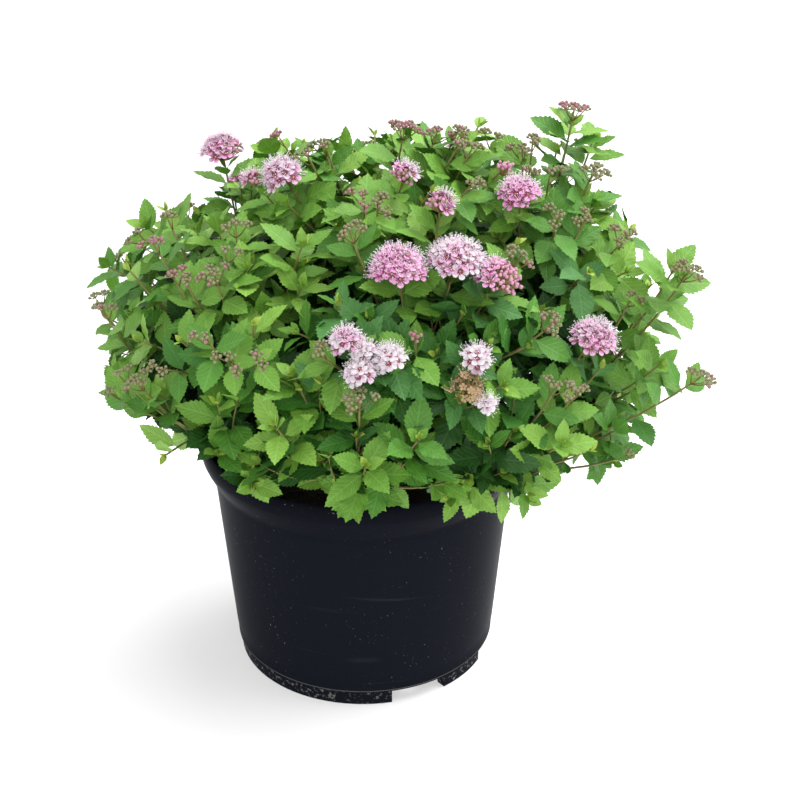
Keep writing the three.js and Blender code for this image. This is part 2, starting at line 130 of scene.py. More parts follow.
class SPIREA_PG_flowers(bpy.types.PropertyGroup):
    across: length("Flower", 8.2, "An open flower from petal tip to petal tip")
    stamen: length("Stamen", 4.1, "From the disc to the anther")
    bud: length("Bud", 2.05, "A closed bud, across")
    rose: colour("Rose", "#e29acc", "The deepest petals")
    pink: colour("Pink", "#e8afd6", "Pink petals")
    pale: colour("Pale pink", "#e3c9de", "Fading petals")
    white: colour("White", "#ece4ea", "Petals faded to white")
    foot: colour("Petal foot", "#a12a70", "The deeper pink at a petal's foot")
    disc: colour("Disc", "#87294a", "The nectar ring round the middle")
    eye: colour("Eye", "#b98f74", "The middle of the flower")
    filament: colour("Stamens", "#f6e9f0", "Filaments and anthers")
    magenta_bud: colour("Magenta bud", "#d39ab2", "Buds about to open")
    rosy_bud: colour("Rosy bud", "#a5757b", "Buds that show colour")
    tan_bud: colour("Tan bud", "#868560", "Buds still closed")
    withered: colour("Withered", "#b3966c", "Shrivelled petals of heads that have gone over")
    dried_bud: colour("Dried", "#6f5532", "Dried seed heads")
    dry_filament: colour("Dry filaments", "#d0b896", "Filaments of heads that have gone over")


class SPIREA_PG_stage(bpy.types.PropertyGroup):
    floor: colour("Floor", "#fbfbfb", "The seamless studio floor")
    distance: length("Camera distance", 872, "From the camera to the point it looks at")
    elevation: FloatProperty(
        name="Camera elevation", description="Above the level", subtype="ANGLE", default=math.radians(25.8)
    )
    aim: length("Aim height", 159.9, "Height of the point that the camera looks at")
    aside: length("Aim aside", 21.8, "That point's distance to the right of the pot's axis")
    lens: FloatProperty(
        name="Lens", description="Focal length for a 36 mm sensor", unit="CAMERA", default=67.5
    )


# ------------------------------------------------------------------ the rule of growth, in millimetres


# Places on the crown: where it swells out, or draws in, and where sky shows between the shoots, with the
# share of twigs that are left out there.
Lobe = namedtuple("Lobe", "azimuth elevation swell spread")
Opening = namedtuple("Opening", "azimuth elevation spread share")
# A ring of foliage masses, with the first one's azimuth and how steeply its stems leave the stool.
Tier = namedtuple("Tier", "name count elevation turn root_elevation")
# A young spray that stands out of the crown or hangs from it, a flower head, with its flowers' colour and the
# share of them that are still in bud, and a branched cluster of buds.
Leader = namedtuple("Leader", "azimuth elevation beyond")
Head = namedtuple("Head", "azimuth elevation across petals buds beyond", defaults=(0, 0))
Cluster = namedtuple("Cluster", "azimuth elevation beyond branches rosy", defaults=(False,))
# A shoot's role is leafy, leader, head or cluster, or twig or inner for the fine twigs. Its thing is what it
# ends in, and its skin is how far its leaves may stand out of the crown's surface.
Shoot = namedtuple("Shoot", "mass line seed role thing skin")
# Fine twigs whose tips lie between two depths under the crown's surface.
Layer = namedtuple("Layer", "role shallow deep first_seed")

CROWN_CENTRE = np.array([9.0, 0.0, 180.0])
CROWN_RADIUS = 157.0
CROWN_ABOVE = 138.0
CROWN_BELOW = 58.0
LOWEST_SHOOT = 12.0
HALF_WIDTH = 187.0  # no leaf reaches further to the left or right

LOBES = [
    Lobe(15, 52, 22, 26),
    Lobe(-5, 24, 5, 24),
    Lobe(-35, 20, 6, 18),
    Lobe(180, 42, 6, 20),
    Lobe(147, 17, 36, 19),
    Lobe(-90, 60, -6, 30),
]
OPENINGS = [
    Opening(172, 36, 24, 0.75),
    Opening(150, 60, 16, 0.5),
    Opening(5, 52, 20, 0.6),
    Opening(-20, 30, 16, 0.5),
    Opening(60, 82, 14, 0.4),
    Opening(12, 68, 14, 0.6),
    Opening(-170, 25, 12, 0.6),
]
TIERS = [
    Tier("lower", 9, 22, -90, 34),
    Tier("middle", 5, 48, -68, 58),
    Tier("top", 1, 87, 20, 88),
]

LEADERS = [
    Leader(*row)
    for row in (
        (9, 59, 28), (9, 55, 25), (-4, 51, 6), (-17, 42, 10), (-21, 39, 40), (-29, 29, 27), (-33, 21, 6),
        (-29, 13, 12), (-43, 9, 6), (-48, 13, -6), (-58, 14, -22), (-66, 16, -22), (-70, 21, -12),
        (-88, 19, -26), (-94, 21, -18), (-118, 18, -20), (-157, 12, 8), (160, 74, 15), (171, 48, 14),
        (167, 35, 20), (170, 27, 10), (148, 19, 22),
    )
]  # fmt: skip

# Young sprays that stand out all over the crown's flanks.
ROSETTES = [
    Leader(*row)
    for row in (
        (-106, 32, 11), (-88, 26, 9), (-78, 30, 11), (-60, 36, 10), (-50, 24, 11), (-104, 41, 4),
        (65, 34, 11), (92, 27, 9), (118, 36, 10),
    )
]  # fmt: skip

HEADS = [
    Head(*row)
    for row in (
        (155, 64, 31, "pink", 0.2, 9), (-147, 75, 26, "pale", 0.05), (-156, 71, 15, "rose", 0.5),
        (-61, 75, 19, "pink", 0.4), (-56, 67, 19, "pink", 0.45), (-29, 62, 27, "rose", 0.1),
        (-23, 66, 14, "rose", 0.9), (-78, 58, 34, "rose", 0.08), (-61, 57, 35, "pale", 0.05),
        (-53, 52, 31, "rose", 0.6), (-92, 46, 20, "pale"), (-89, 41, 19, "white"), (-83, 43, 19, "white"),
        (-88, 44, 15, "white"), (-65, 41, 18, "white"), (-68, 37, 23, "withered"), (-65, 34, 12, "white"),
        (-38, 38, 29, "pink", 0.1), (60, 52, 26, "pink", 0.2), (95, 38, 28, "pale", 0.1),
        (128, 48, 25, "rose", 0.3), (40, 30, 25, "white", 0.1),
    )
]  # fmt: skip

CLUSTERS = [
    Cluster(*row)
    for row in (
        (8, 60, 19, 5, True), (-8, 55, 6, 5), (-18, 46, 5, 4), (-23, 38, 32, 5), (-30, 26, 33, 4),
        (-33, 16, -2, 1), (0, 83, 0, 4, True), (0, 78, -3, 3, True), (0, 75, -2, 3), (-21, 74, -1, 2),
        (-18, 72, -2, 3), (0, 69, -4, 2), (-4, 65, -4, 3), (0, 64, 0, 2), (-21, 63, 0, 2), (-16, 60, 0, 2),
        (-28, 55, 0, 3), (-22, 52, 0, 3), (-46, 53, 0, 4), (-42, 67, 0, 2), (-24, 39, 0, 2), (-47, 42, 0, 4),
        (-51, 33, 0, 3), (-47, 31, 0, 4), (178, 48, -3, 2), (-159, 52, 2, 3, True), (-167, 56, 0, 2),
        (-179, 34, 2, 2), (-164, 37, 2, 3), (170, 77, 4, 2, True), (-143, 80, 0, 2), (178, 84, -4, 3),
        (-135, 62, 0, 3), (-131, 57, 0, 2), (-143, 50, 0, 2, True), (-137, 50, -1, 2), (-130, 53, 0, 5),
        (-87, 71, 0, 3, True), (-81, 69, 0, 3), (-92, 64, 0, 4), (-97, 43, 0, 2), (-124, 43, 0, 2),
        (-117, 41, 0, 3), (-111, 42, 0, 2), (-136, 36, 0, 2), (-141, 32, 0, 4), (-147, 31, 1, 2),
        (-150, 27, 2, 1), (-89, 36, 1, 5), (-77, 45, 0, 1, True), (70, 66, -5, 3, True), (52, 40, 3, 3),
        (35, 44, 2, 4), (78, 24, 3, 4), (90, 55, -2, 3), (108, 46, 3, 3), (62, 30, 3, 3),
        (100, 20, 3, 3, True), (120, 26, 4, 4), (140, 40, 3, 3, True), (130, 64, -3, 3), (150, 28, 3, 2),
        (25, 20, 4, 3),
    )
]  # fmt: skip

# Azimuths and how high the crown's underside lies there: bare places show between its hanging sprays.
SKIRT = [
    (-180, 130), (-168, 140), (-156, 152), (-150, 164), (-138, 168), (-130, 163), (-120, 151), (-113, 151),
    (-107, 163), (-101, 163), (-96, 157), (-90, 150), (-84, 155), (-78, 162), (-72, 153), (-66, 143),
    (-60, 143), (-53, 136), (-47, 132), (-42, 138), (-36, 131), (-24, 128), (0, 124), (40, 135), (90, 140),
    (140, 140), (165, 134), (180, 130),
]  # fmt: skip
SKIRT_FOOT = 100.0  # how far from the pot's axis the underside starts, and how steeply it rises from there
SKIRT_RISE = 0.6

SHOOTS = 94
SHOOT_DEPTH = 3.0
SHOOT_DEPTH_SPREAD = 15.0
LEADER_DEPTH = 17.0
LEAF_SKIN = 3.0
LEAF_SKIN_SPREAD = 10.0
LEADER_HANG = 18.0  # how far under the skirt the leaves of a leader may hang
TIP_OVER_SKIRT = 12.0
SHOOT_BEND = 8.0
TURN_UP = 0.16  # how far a shoot sags before it turns up, as a share of its span
SHOOTS_FROM = 0.3  # the lowest place that shoots leave their mass's stem from, as a share of it
ROOM_AT_TIP = 14.0
MASS_GAP = 0.8
CORE_SHARE = 0.63
STEM_SHARE = 0.42
STOOL_RADIUS = 15.0
CLEARANCE = 0.3
SOIL_LEVEL = 123.0
HEART = np.array([0.0, 0.0, SOIL_LEVEL + CLEARANCE])

OUTER = Layer("twig", 12, 36, 1000)
INNER = Layer("inner", 34, 88, 3000)
TWIG_JITTER = 10.0  # how far a twig's tip strays from its even place
HEAD_ROOM = 19.0  # twigs that end as near as this to a head are set so far under it
UNDER_HEAD = 14.0
TWIG_ROOTS = (0.25, 0.35)  # the lowest root of a twig on its shoot, and how much further up it may lie
TWIG_BEND = (0.3, 0.3, -0.2)  # along its shoot, straight to its tip and up, as shares of its span


def chance(index, salt):
    """A repeatable number from 0 to 1 for a thing's index. Its salt tells the thing's draws apart."""
    wave = math.sin(index * 12.9898 + salt * 78.233) * 43758.5453
    return wave - math.floor(wave)


def stray(index, salt):
    """A repeatable number from -0.5 to 0.5."""
    return chance(index, salt) - 0.5


def unit(vector):
    return vector / np.linalg.norm(vector, axis=-1, keepdims=True)


def turned(first, second, angle):
    """The direction at an angle from the first of two, towards the second."""
    return first * math.cos(angle) + second * math.sin(angle)


def direction(azimuth, elevation):
    turn, rise = math.radians(azimuth), math.radians(elevation)
    return np.array([math.cos(rise) * math.cos(turn), math.cos(rise) * math.sin(turn), math.sin(rise)])


def nearness(way, place):
    """How near a direction comes to a lobe or an opening: 1 in its middle, and less further out."""
    apart = math.degrees(math.acos(np.clip(way @ direction(place.azimuth, place.elevation), -1, 1)))
    return math.exp(-((apart / place.spread) ** 2))


def crown_reach(toward):
    """How far the crown's surface lies from the heart, in a direction."""
    way = unit(toward)
    offset = HEART - CROWN_CENTRE
    reach = 0.0
    for height, above in ((CROWN_ABOVE, True), (CROWN_BELOW, False)):
        scale = np.array([1 / CROWN_RADIUS, 1 / CROWN_RADIUS, 1 / height])
        d, o = way * scale, offset * scale
        half = d @ o
        root = half * half - (d @ d) * (o @ o - 1)
        if root < 0:
            continue
        far = (math.sqrt(root) - half) / (d @ d)
        if (HEART[2] + far * way[2] >= CROWN_CENTRE[2]) == above:
            reach = max(reach, far)
    for lobe in LOBES:
        reach += lobe.swell * nearness(way, lobe)
    return reach


class Line:
    """A limb's middle line: a curve from start towards bend and on to end."""

    def __init__(self, start, bend, end, samples=14):
        t = np.linspace(0, 1, samples)[:, None]
        self.points = (1 - t) ** 2 * start + 2 * t * (1 - t) * bend + t**2 * end
        self.onward = unit((1 - t) * (bend - start) + t * (end - bend))
        steps = np.linalg.norm(np.diff(self.points, axis=0), axis=1)
        self.travelled = np.concatenate([[0], np.cumsum(steps)])
        self.length = self.travelled[-1]
        self.tip = self.points[-1]

    def at(self, distance):
        """The point at a distance from the start, and the way the line runs there."""
        point, onward = (
            np.array([np.interp(distance, self.travelled, values[:, k]) for k in range(3)])
            for values in (self.points, self.onward)
        )
        return point, unit(onward)

    def evenly(self, samples):
        """Points at even distances from one end to the other."""
        return np.array([self.at(distance)[0] for distance in np.linspace(0, 1, samples) * self.length])


def limb(start, heading, end):
    """A limb that sets out along a heading and bends to its end."""
    return Line(start, start + heading * np.linalg.norm(end - start) / 2, end)


class Mass:
    """A mass of foliage: its wedge of the crown, the stem that carries it and its own stem."""

    def __init__(self, tier, index):
        azimuth = tier.turn + 360 * index / tier.count
        root = direction(azimuth, tier.root_elevation)
        self.label = f"{tier.name}_{index + 1}"
        self.toward = direction(azimuth, tier.elevation)
        reach = crown_reach(self.toward)
        tip, core = (HEART + self.toward * share * reach for share in (STEM_SHARE, CORE_SHARE))
        self.stem = limb(HEART + root * (STOOL_RADIUS + CLEARANCE), root, tip)
        self.inner = limb(tip + self.stem.onward[-1] * CLEARANCE, self.stem.onward[-1], core)


MASSES = [Mass(tier, i) for tier in TIERS for i in range(tier.count)]
NODES = [f"foliage_{mass.label}" for mass in MASSES]


def room(mass, point):
    """How deep a point lies inside a mass's wedge, from the nearest border to another mass."""
    borders = unit(np.array([mass.toward - other.toward for other in MASSES if other is not mass]))
    return (borders @ (point - HEART)).min() - MASS_GAP / 2


def open_to_sky(toward, draw):
    """Whether a twig in a direction is left out, by a draw from 0 to 1."""
    return any(draw < opening.share * nearness(toward, opening) for opening in OPENINGS)


def skirt(point):
    """How high the crown's underside is at a point."""
    azimuths, heights = zip(*SKIRT)
    foot = np.interp(math.degrees(math.atan2(point[1], point[0])), azimuths, heights)
    return foot + SKIRT_RISE * max(0, math.hypot(point[0], point[1]) - SKIRT_FOOT)


def over_skirt(tip):
    """A tip that would hang under the crown is drawn in and up until it doesn't."""
    short = skirt(tip) + TIP_OVER_SKIRT - tip[2]
    if short <= 0:
        return tip
    inward = unit(np.array([-tip[0], -tip[1], 0]))
    return tip + (inward + UP) * short / (1 + SKIRT_RISE)


def nearest_mass(toward):
    return max(MASSES, key=lambda mass: mass.toward @ toward)


def place_for(mass, toward, beyond, size):
    """The place nearest to a wished one where a thing of some size has room inside its mass's wedge."""
    for share in np.arange(0, 1, 0.05):
        way = unit(toward * (1 - share) + mass.toward * share)
        place = HEART + way * (crown_reach(way) + beyond)
        if room(mass, place) > size / 2:
            return place
    return HEART + mass.toward * (crown_reach(mass.toward) + beyond)


def spread_directions(count):
    """Evenly spread directions over the crown, from its lowest leaves to its top."""
    low = math.sin(math.radians(LOWEST_SHOOT))
    for k in range(count):
        rise = math.asin(low + (1 - low) * (k + 0.5) / count)
        yield direction(math.degrees(k * GOLDEN_ANGLE), math.degrees(rise))


def leaf_skin(seed):
    """Some shoots stand out of the crown and others stay inside it, so its outline is loose."""
    return LEAF_SKIN - LEAF_SKIN_SPREAD * chance(seed, 6)


def shoot_line(mass, seed, tip):
    """A shoot leaves its mass's stem and bends out to its tip."""
    start, onward = mass.inner.at((SHOOTS_FROM + (1 - SHOOTS_FROM) * chance(seed, 9)) * mass.inner.length)
    sag = UP * TURN_UP * np.linalg.norm(tip - start)
    return Line(start, (start + tip) / 2 + onward * SHOOT_BEND - sag, tip)


def main_shoots():
    """The even shoots of the whole crown, and those that end in a leader, a head, a cluster or a rosette."""
    shoots = []
    for seed, toward in enumerate(spread_directions(SHOOTS)):
        mass = nearest_mass(toward)
        depth = SHOOT_DEPTH + SHOOT_DEPTH_SPREAD * chance(seed, 5)
        tip = over_skirt(place_for(mass, toward, -depth, ROOM_AT_TIP))
        shoots.append(Shoot(mass, shoot_line(mass, seed, tip), seed, "leafy", None, leaf_skin(seed)))
    for role, things in (("leader", LEADERS), ("head", HEADS), ("cluster", CLUSTERS), ("leader", ROSETTES)):
        depth = LEADER_DEPTH if role == "leader" else 0
        for thing in things:
            seed = len(shoots)
            toward = direction(thing.azimuth, thing.elevation)
            mass = nearest_mass(toward)
            tip = HEART + toward * (crown_reach(toward) + thing.beyond - depth)
            shoots.append(Shoot(mass, shoot_line(mass, seed, tip), seed, role, thing, max(0, thing.beyond)))
    return shoots


def fine_twigs(shoots, layer, count):
    """A layer's twigs, which leave the nearest shoot of their mass and turn up towards their tips."""
    twigs = []
    heads = [shoot.line.tip for shoot in shoots if shoot.role == "head"]
    for seed, toward in enumerate(spread_directions(count), layer.first_seed):
        if layer is OUTER and open_to_sky(toward, chance(seed, 36)):
            continue
        mass = nearest_mass(toward)
        depth = layer.shallow + (layer.deep - layer.shallow) * chance(seed, 31)
        tip = HEART + toward * (crown_reach(toward) - depth)
        tip = over_skirt(tip + np.array([stray(seed, salt) for salt in (32, 33, 34)]) * TWIG_JITTER)
        if min(np.linalg.norm(head - tip) for head in heads) < HEAD_ROOM:
            tip -= toward * UNDER_HEAD
        near = (shoot.line for shoot in shoots if shoot.mass is mass)
        parent = min(near, key=lambda line: np.linalg.norm(line.tip - tip))
        start, onward = parent.at(parent.length * (TWIG_ROOTS[0] + TWIG_ROOTS[1] * chance(seed, 35)))
        span = tip - start
        ways = zip(TWIG_BEND, (onward, unit(span), UP))
        bend = start + sum(share * way for share, way in ways) * np.linalg.norm(span)
        twigs.append(Shoot(mass, Line(start, bend, tip), seed, layer.role, None, leaf_skin(seed)))
    return twigs


def all_shoots(settings):
    shoots = main_shoots()
    outer = fine_twigs(shoots, OUTER, settings.twigs)
    return shoots + outer + fine_twigs(shoots, INNER, settings.inner_twigs)


# ------------------------------------------------------------------ meshes and pieces


def placed(name, data):
    """A new object in the scene, at the origin."""
    made = bpy.data.objects.new(name, data)
    bpy.context.scene.collection.objects.link(made)
    return made


def show(mesh, material, replaced=()):
    """Makes a finished mesh a piece of the shrub, which is named as the mesh is."""
    piece = placed(mesh.name, mesh)
    mesh.materials.append(material)
    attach(piece, "root")
    if replaced:
        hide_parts(*replaced)


def mesh_of(name, shape):
    """The mesh of a finished bmesh."""
    mesh = bpy.data.meshes.new(name)
    shape.to_mesh(mesh)
    shape.free()
    return mesh


def array_mesh(name, points, triangles, uv=None):
    """A mesh from points in millimetres and triangles, with a UV pair for each point."""
    mesh = bpy.data.meshes.new(name)
    mesh.vertices.add(len(points))
    mesh.vertices.foreach_set("co", (points * MM).astype(np.float32).ravel())
    mesh.loops.add(triangles.size)
    mesh.loops.foreach_set("vertex_index", triangles.astype(np.int32).ravel())
    mesh.polygons.add(len(triangles))
    mesh.polygons.foreach_set("loop_start", np.arange(0, triangles.size, 3, dtype=np.int32))
    mesh.update(calc_edges=True)
    if uv is not None:
        layer = mesh.uv_layers.new(name="Surface")
        layer.data.foreach_set("uv", uv[triangles.ravel()].astype(np.float32).ravel())
    mesh.shade_smooth()
    return mesh


# A small shape that is copied many times.
Template = namedtuple("Template", "points triangles uv", defaults=(None,))


def repeated(triangles, size, count):
    """The triangles of many copies of a shape of so many points, which lie one copy after another."""
    return (triangles[None] + np.arange(count)[:, None, None] * size).reshape(-1, 3)


def copied_mesh(name, template, points):
    """One mesh of all the copies of a template, from their points."""
    size = len(template.points)
    count = len(points) // size
    uv = None if template.uv is None else np.tile(template.uv, (count, 1))
    return array_mesh(name, points, repeated(template.triangles, size, count), uv)


def axes_for(normals):
    """Two directions across each normal."""
    guides = np.where(np.abs(normals[:, 2:3]) < 0.9, UP, np.array([1.0, 0, 0]))
    across = unit(np.cross(normals, guides))
    return across, np.cross(normals, across)


def axes_of(normal):
    """Two directions across one normal."""
    across, beside = axes_for(normal[None])
    return across[0], beside[0]


def gathered(things, *keys):
    """An array of each of these values over all things."""
    return (np.array([getattr(thing, key) for thing in things]) for key in keys)


def strewn(name, template, blooms, size, turns):
    """A mesh with a copy of a template for each bloom, turned about the bloom's normal."""
    places, normals, sizes = gathered(blooms, "place", "normal", "size")
    across, beside = axes_for(normals)
    c, s = np.cos(turns)[:, None], np.sin(turns)[:, None]
    across, beside = across * c + beside * s, beside * c - across * s
    x, y, z = (template.points[None, :, k, None] for k in range(3))
    local = x * across[:, None] + y * beside[:, None] + z * normals[:, None]
    points = places[:, None] + local * (sizes * size)[:, None, None]
    return copied_mesh(name, template, points.reshape(-1, 3))


def tubes(paths, radii, sides):
    """Joined round limbs along paths of equally many points, closed at both ends: their points, triangles
    and UV pairs that run round and along."""
    count, rings = paths.shape[:2]
    onward = unit(np.gradient(paths, axis=1))
    guide = axes_for(unit(onward.mean(axis=1)))[0][:, None]
    across = unit(guide - onward * (guide * onward).sum(-1, keepdims=True))
    beside = np.cross(onward, across)
    angle = np.arange(sides) * FULL_TURN / sides
    ring = across[:, :, None] * np.cos(angle)[:, None] + beside[:, :, None] * np.sin(angle)[:, None]
    points = paths[:, :, None] + ring * radii[:, :, None, None]
    i, j = np.meshgrid(np.arange(rings - 1), np.arange(sides), indexing="ij")
    a, b = i * sides + j, i * sides + (j + 1) % sides
    wall = [np.stack(face, -1).reshape(-1, 3) for face in ((a, b, b + sides), (a, b + sides, a + sides))]
    fan = np.array([[0, k + 1, k] for k in range(1, sides - 1)])
    shape = np.concatenate([*wall, fan, fan[:, ::-1] + (rings - 1) * sides])
    run = np.linalg.norm(np.diff(paths, axis=1), axis=2).cumsum(axis=1)
    run = np.concatenate([np.zeros((count, 1)), run], axis=1)
    uv = np.stack(np.broadcast_arrays(np.arange(sides) / sides, run[:, :, None]), -1)
    return points.reshape(-1, 3), repeated(shape, rings * sides, count), uv.reshape(-1, 2)


# ------------------------------------------------------------------ leaves

LEAF_TEETH = 8
LEAF_STALK = 0.08  # how far up a leaf its stalk ends and its first and last teeth stand
FIRST_TOOTH = 0.2
LAST_TOOTH = 0.93


def leaf_shape():
    """A flat leaf with its teeth, from -1/2 to 1/2 across and from 0 to 1 along."""

    def half_width(t):
        return 0.5 * math.sin(math.pi * ((t - LEAF_STALK) / (1 - LEAF_STALK)) ** 0.82) ** 0.97

    step = (LAST_TOOTH - FIRST_TOOTH) / LEAF_TEETH
    along = [0.0, LEAF_STALK, *(FIRST_TOOTH + step * i for i in range(LEAF_TEETH + 1)), 1.0]
    side = [(0.012, 0.0), (0.016, LEAF_STALK), (half_width(FIRST_TOOTH) * 0.92, FIRST_TOOTH)]
    for i in range(LEAF_TEETH):
        at = FIRST_TOOTH + step * i
        side.append((half_width(at + step * 0.6) * 1.05, at + step * 0.8))
        side.append((half_width(at + step) * 0.9, at + step))
    points = [(0, y) for y in along]
    triangles = []
    for sign in (1, -1):
        base = len(points)
        points += [(sign * x, y) for x, y in side]
        strips = [(0, 1, base, base + 1), (1, 2, base + 1, base + 2)]
        faces = [face for a, b, c, d in strips for face in ((a, c, d), (a, d, b))]
        for i in range(LEAF_TEETH):
            a, b = 2 + i, 3 + i
            c, d, e = base + 2 + 2 * i, base + 3 + 2 * i, base + 4 + 2 * i
            faces += [(a, c, d), (a, d, b), (b, d, e)]
        faces.append((LEAF_TEETH + 2, base + 2 + 2 * LEAF_TEETH, LEAF_TEETH + 3))
        triangles += faces if sign > 0 else [face[::-1] for face in faces]
    return Template(np.array(points), np.array(triangles), np.array(points))


Leaf = namedtuple("Leaf", "root along facing size tint seed")

# Along a twig: how far each leaf's root lies from the tip, how far it leans out, and its size.
RANKS = [
    (0.6, 20, 0.38), (1.6, 38, 0.56), (3.0, 50, 0.78), (4.8, 58, 0.94), (7.2, 64, 1.00), (10.2, 68, 1.03),
    (14.0, 71, 1.03), (18.5, 73, 1.00), (23.5, 75, 0.98), (29.0, 76, 0.95), (35.0, 77, 0.92),
    (42.0, 78, 0.90), (50.0, 78, 0.90), (59.0, 78, 0.90), (69.0, 78, 0.90), (80.0, 78, 0.90),
]  # fmt: skip
BARE_TIP = {"head": 13, "cluster": 6}  # how far under its flowers or buds a shoot's leaves start
LEAFY_SHARE = 0.86  # of a shoot's length, from its tip
TURN_STRAY = 0.7  # how far a leaf's turn strays, in radians, and its lean, in degrees
LEAN_STRAY = 16.0
TWIST = 1.0  # how far its twist strays, in radians, on most shoots and on leaders
LEADER_TWIST = 0.5
STEEPEST = -0.6  # how steeply a leaf may hang
FACES_UP = 0.6
FACES_LIGHT = 0.7
TOWARD_LIGHT = direction(-85, 5)  # the way that the leaves of the outermost sprays turn
FRONT_ENDS = 60.0  # behind this they turn the other way
CROWN_EDGE = 45.0  # above this height over the heart a leaf stays inside the crown's skin
HEAD_COVER = 0.95  # leaves keep clear of so much of a head's radius, down to so far under its middle
UNDER_DOME = 4.0
UNFOLDING = 3  # golden leaves at a tip

BY_LIGHT = ("lime", "bright", "green", "deep", "shade")  # the greens from the palest to the darkest
TINTS = (*BY_LIGHT, "blue", "golden")
LIGHTER = dict(zip(BY_LIGHT, ("lime", *BY_LIGHT)), blue="green")
DARKER = dict(zip(BY_LIGHT, (*BY_LIGHT[1:], "shade")), blue="deep")
SHADE_STARTS = 228.0  # under this height little light comes through the crown
SHADE_ENDS = 282.0  # above it light comes right through
THIN_FROM = 95.0  # to the left and right of this the crown is thin, and light comes through as well
THIN_TO = 160.0
THIN_LIGHT = 0.8
UNDERSIDE = 19.0  # leaves as near as this to the crown's underside are in its shade
# How deep leaves keep their spray's green in the dark and how much deeper in light, and how deep they are
# only a step darker.
KEEPS_GREEN = (19.0, 59.0)
DIMS = (30.0, 70.0)
# Sprays as near as this to a head on the crown's flanks are bluer, and such a head lies under an elevation.
NEAR_HEAD = math.cos(math.radians(12))
FLANK_BELOW = 60
FLANK_HEADS = [direction(head.azimuth, head.elevation) for head in HEADS if head.elevation < FLANK_BELOW]


def openness(point):
    """How much light comes through the crown at a point, from 0 to 1."""
    high = (point[2] - SHADE_STARTS) / (SHADE_ENDS - SHADE_STARTS)
    thin = (abs(point[0]) - THIN_FROM) / (THIN_TO - THIN_FROM)
    return float(np.clip(max(high, THIN_LIGHT * min(1, thin)), 0, 1))


def spray_tint(shoot):
    """A spray's green, dealt by what it carries and by the light at its tip, as painted light: paler where
    more light comes through.
    """
    draw, light = chance(shoot.seed, 21), openness(shoot.line.tip)
    way = unit(shoot.line.tip - HEART)
    if shoot.role == "head":
        return "blue" if light < 0.9 else "bright"
    if shoot.role == "inner":
        shares = (light - 0.6, "lime"), (light - 0.1, "bright"), (light + 0.1, "green"), (1, "deep")
    elif shoot.role == "cluster":
        shares = (0.5, "green"), (1, "bright")
    elif shoot.role == "leader":
        shares = (0.45, "lime"), (0.85, "bright"), (1, "green")
    elif any(way @ head > NEAR_HEAD for head in FLANK_HEADS):
        shares = (0.45, "blue"), (0.85, "green"), (1, "deep")
    else:
        lime = 0.3 + 0.22 * light
        shares = (lime, "lime"), (lime + 0.35, "bright"), (0.92 + 0.08 * light, "green"), (1, "deep")
    return next(tint for share, tint in shares if draw < share)


def leaf_tint(shoot, tint, rank, root, tip):
    """One leaf's green: paler at its shoot's tip; painted shade makes it darker deep in the crown and along
    its underside, and painted light keeps it pale deep in the crown where light comes through.
    """
    if rank < 2:
        return LIGHTER[tint]
    if shoot.role == "leader":
        return tint
    light = openness(root)
    depth = crown_reach(root - HEART) - np.linalg.norm(root - HEART)
    # painted shade: a leaf near the crown's underside is a step darker, and deeper in the crown its painted
    # shade or painted light goes by how much light comes through
    if tip[2] < skirt(tip) + UNDERSIDE:
        tint = DARKER[tint]
    if depth < KEEPS_GREEN[0] + KEEPS_GREEN[1] * light:
        return tint
    if depth < DIMS[0] + DIMS[1] * light:
        return DARKER[tint]
    return "bright" if light > 0.8 else "deep" if light > 0.4 else "shade"


def covers(point, heads):
    """Whether a leaf that passes a point would cover a flower head."""
    for head in heads:
        off = point - head.middle
        if np.linalg.norm(off) < head.radius * HEAD_COVER and off @ head.axis > -UNDER_DOME:
            return True
    return False


def fits(shoot, heads, root, reach):
    """Whether a leaf stays in the crown, over its skirt and clear of the flower heads."""
    tip = root + reach
    out = tip - HEART
    if np.linalg.norm(out) > crown_reach(out) + shoot.skin and out[2] > CROWN_EDGE:
        return False
    hang = LEADER_HANG if shoot.role == "leader" else 0
    if abs(tip[0]) > HALF_WIDTH or tip[2] < skirt(tip) - hang:
        return False
    return not (covers(tip, heads) or covers(root + reach / 2, heads))


def leaves_on(shoot, heads, leaf_length):
    """The leaves of one shoot, each a golden angle further round. One that doesn't fit is left out."""
    tint, line, seed = spray_tint(shoot), shoot.line, shoot.seed
    for rank, (back, lean, size) in enumerate(RANKS):
        back += BARE_TIP.get(shoot.role, 0)
        if back > line.length * LEAFY_SHARE:
            return
        root, onward = line.at(line.length - back)
        sideways = unit(np.cross(onward, UP) + 1e-6)
        turn = (rank + seed) * GOLDEN_ANGLE + stray(seed, 40 + rank) * TURN_STRAY
        outward = turned(sideways, np.cross(onward, sideways), turn)
        along = turned(onward, outward, math.radians(lean + stray(seed, 60 + rank) * LEAN_STRAY))
        along = unit(np.array([along[0], along[1], max(along[2], STEEPEST)]))
        facing = onward + UP * FACES_UP
        if shoot.role in ("leader", "cluster", "head"):
            facing = facing + (TOWARD_LIGHT if root[1] < FRONT_ENDS else -TOWARD_LIGHT) * FACES_LIGHT
        facing = unit(facing - along * (facing @ along))
        twist = stray(seed, 100 + rank) * (LEADER_TWIST if shoot.role == "leader" else TWIST)
        facing = turned(facing, np.cross(along, facing), twist)
        grown = size * leaf_length * (0.82 + 0.36 * chance(seed, 80 + rank))
        if fits(shoot, heads, root, along * grown):
            green = leaf_tint(shoot, tint, rank, root, root + along * grown)
            yield Leaf(root, along, facing, grown, green, seed * 17.3 + rank)


def unfolding_leaves(shoot, leaf_length):
    """The small golden leaves in the middle of a leafy tip."""
    root, onward = shoot.line.at(shoot.line.length - 0.3)
    across, beside = axes_of(onward)
    for k in range(UNFOLDING):
        outward = turned(across, beside, k * 2.2 + shoot.seed)
        tilt = math.radians(12 + 9 * k)
        along, facing = turned(onward, outward, tilt), unit(turned(-outward, onward, tilt))
        yield Leaf(root, along, facing, leaf_length * (0.2 + 0.06 * k), "golden", shoot.seed * 3.1 + k)


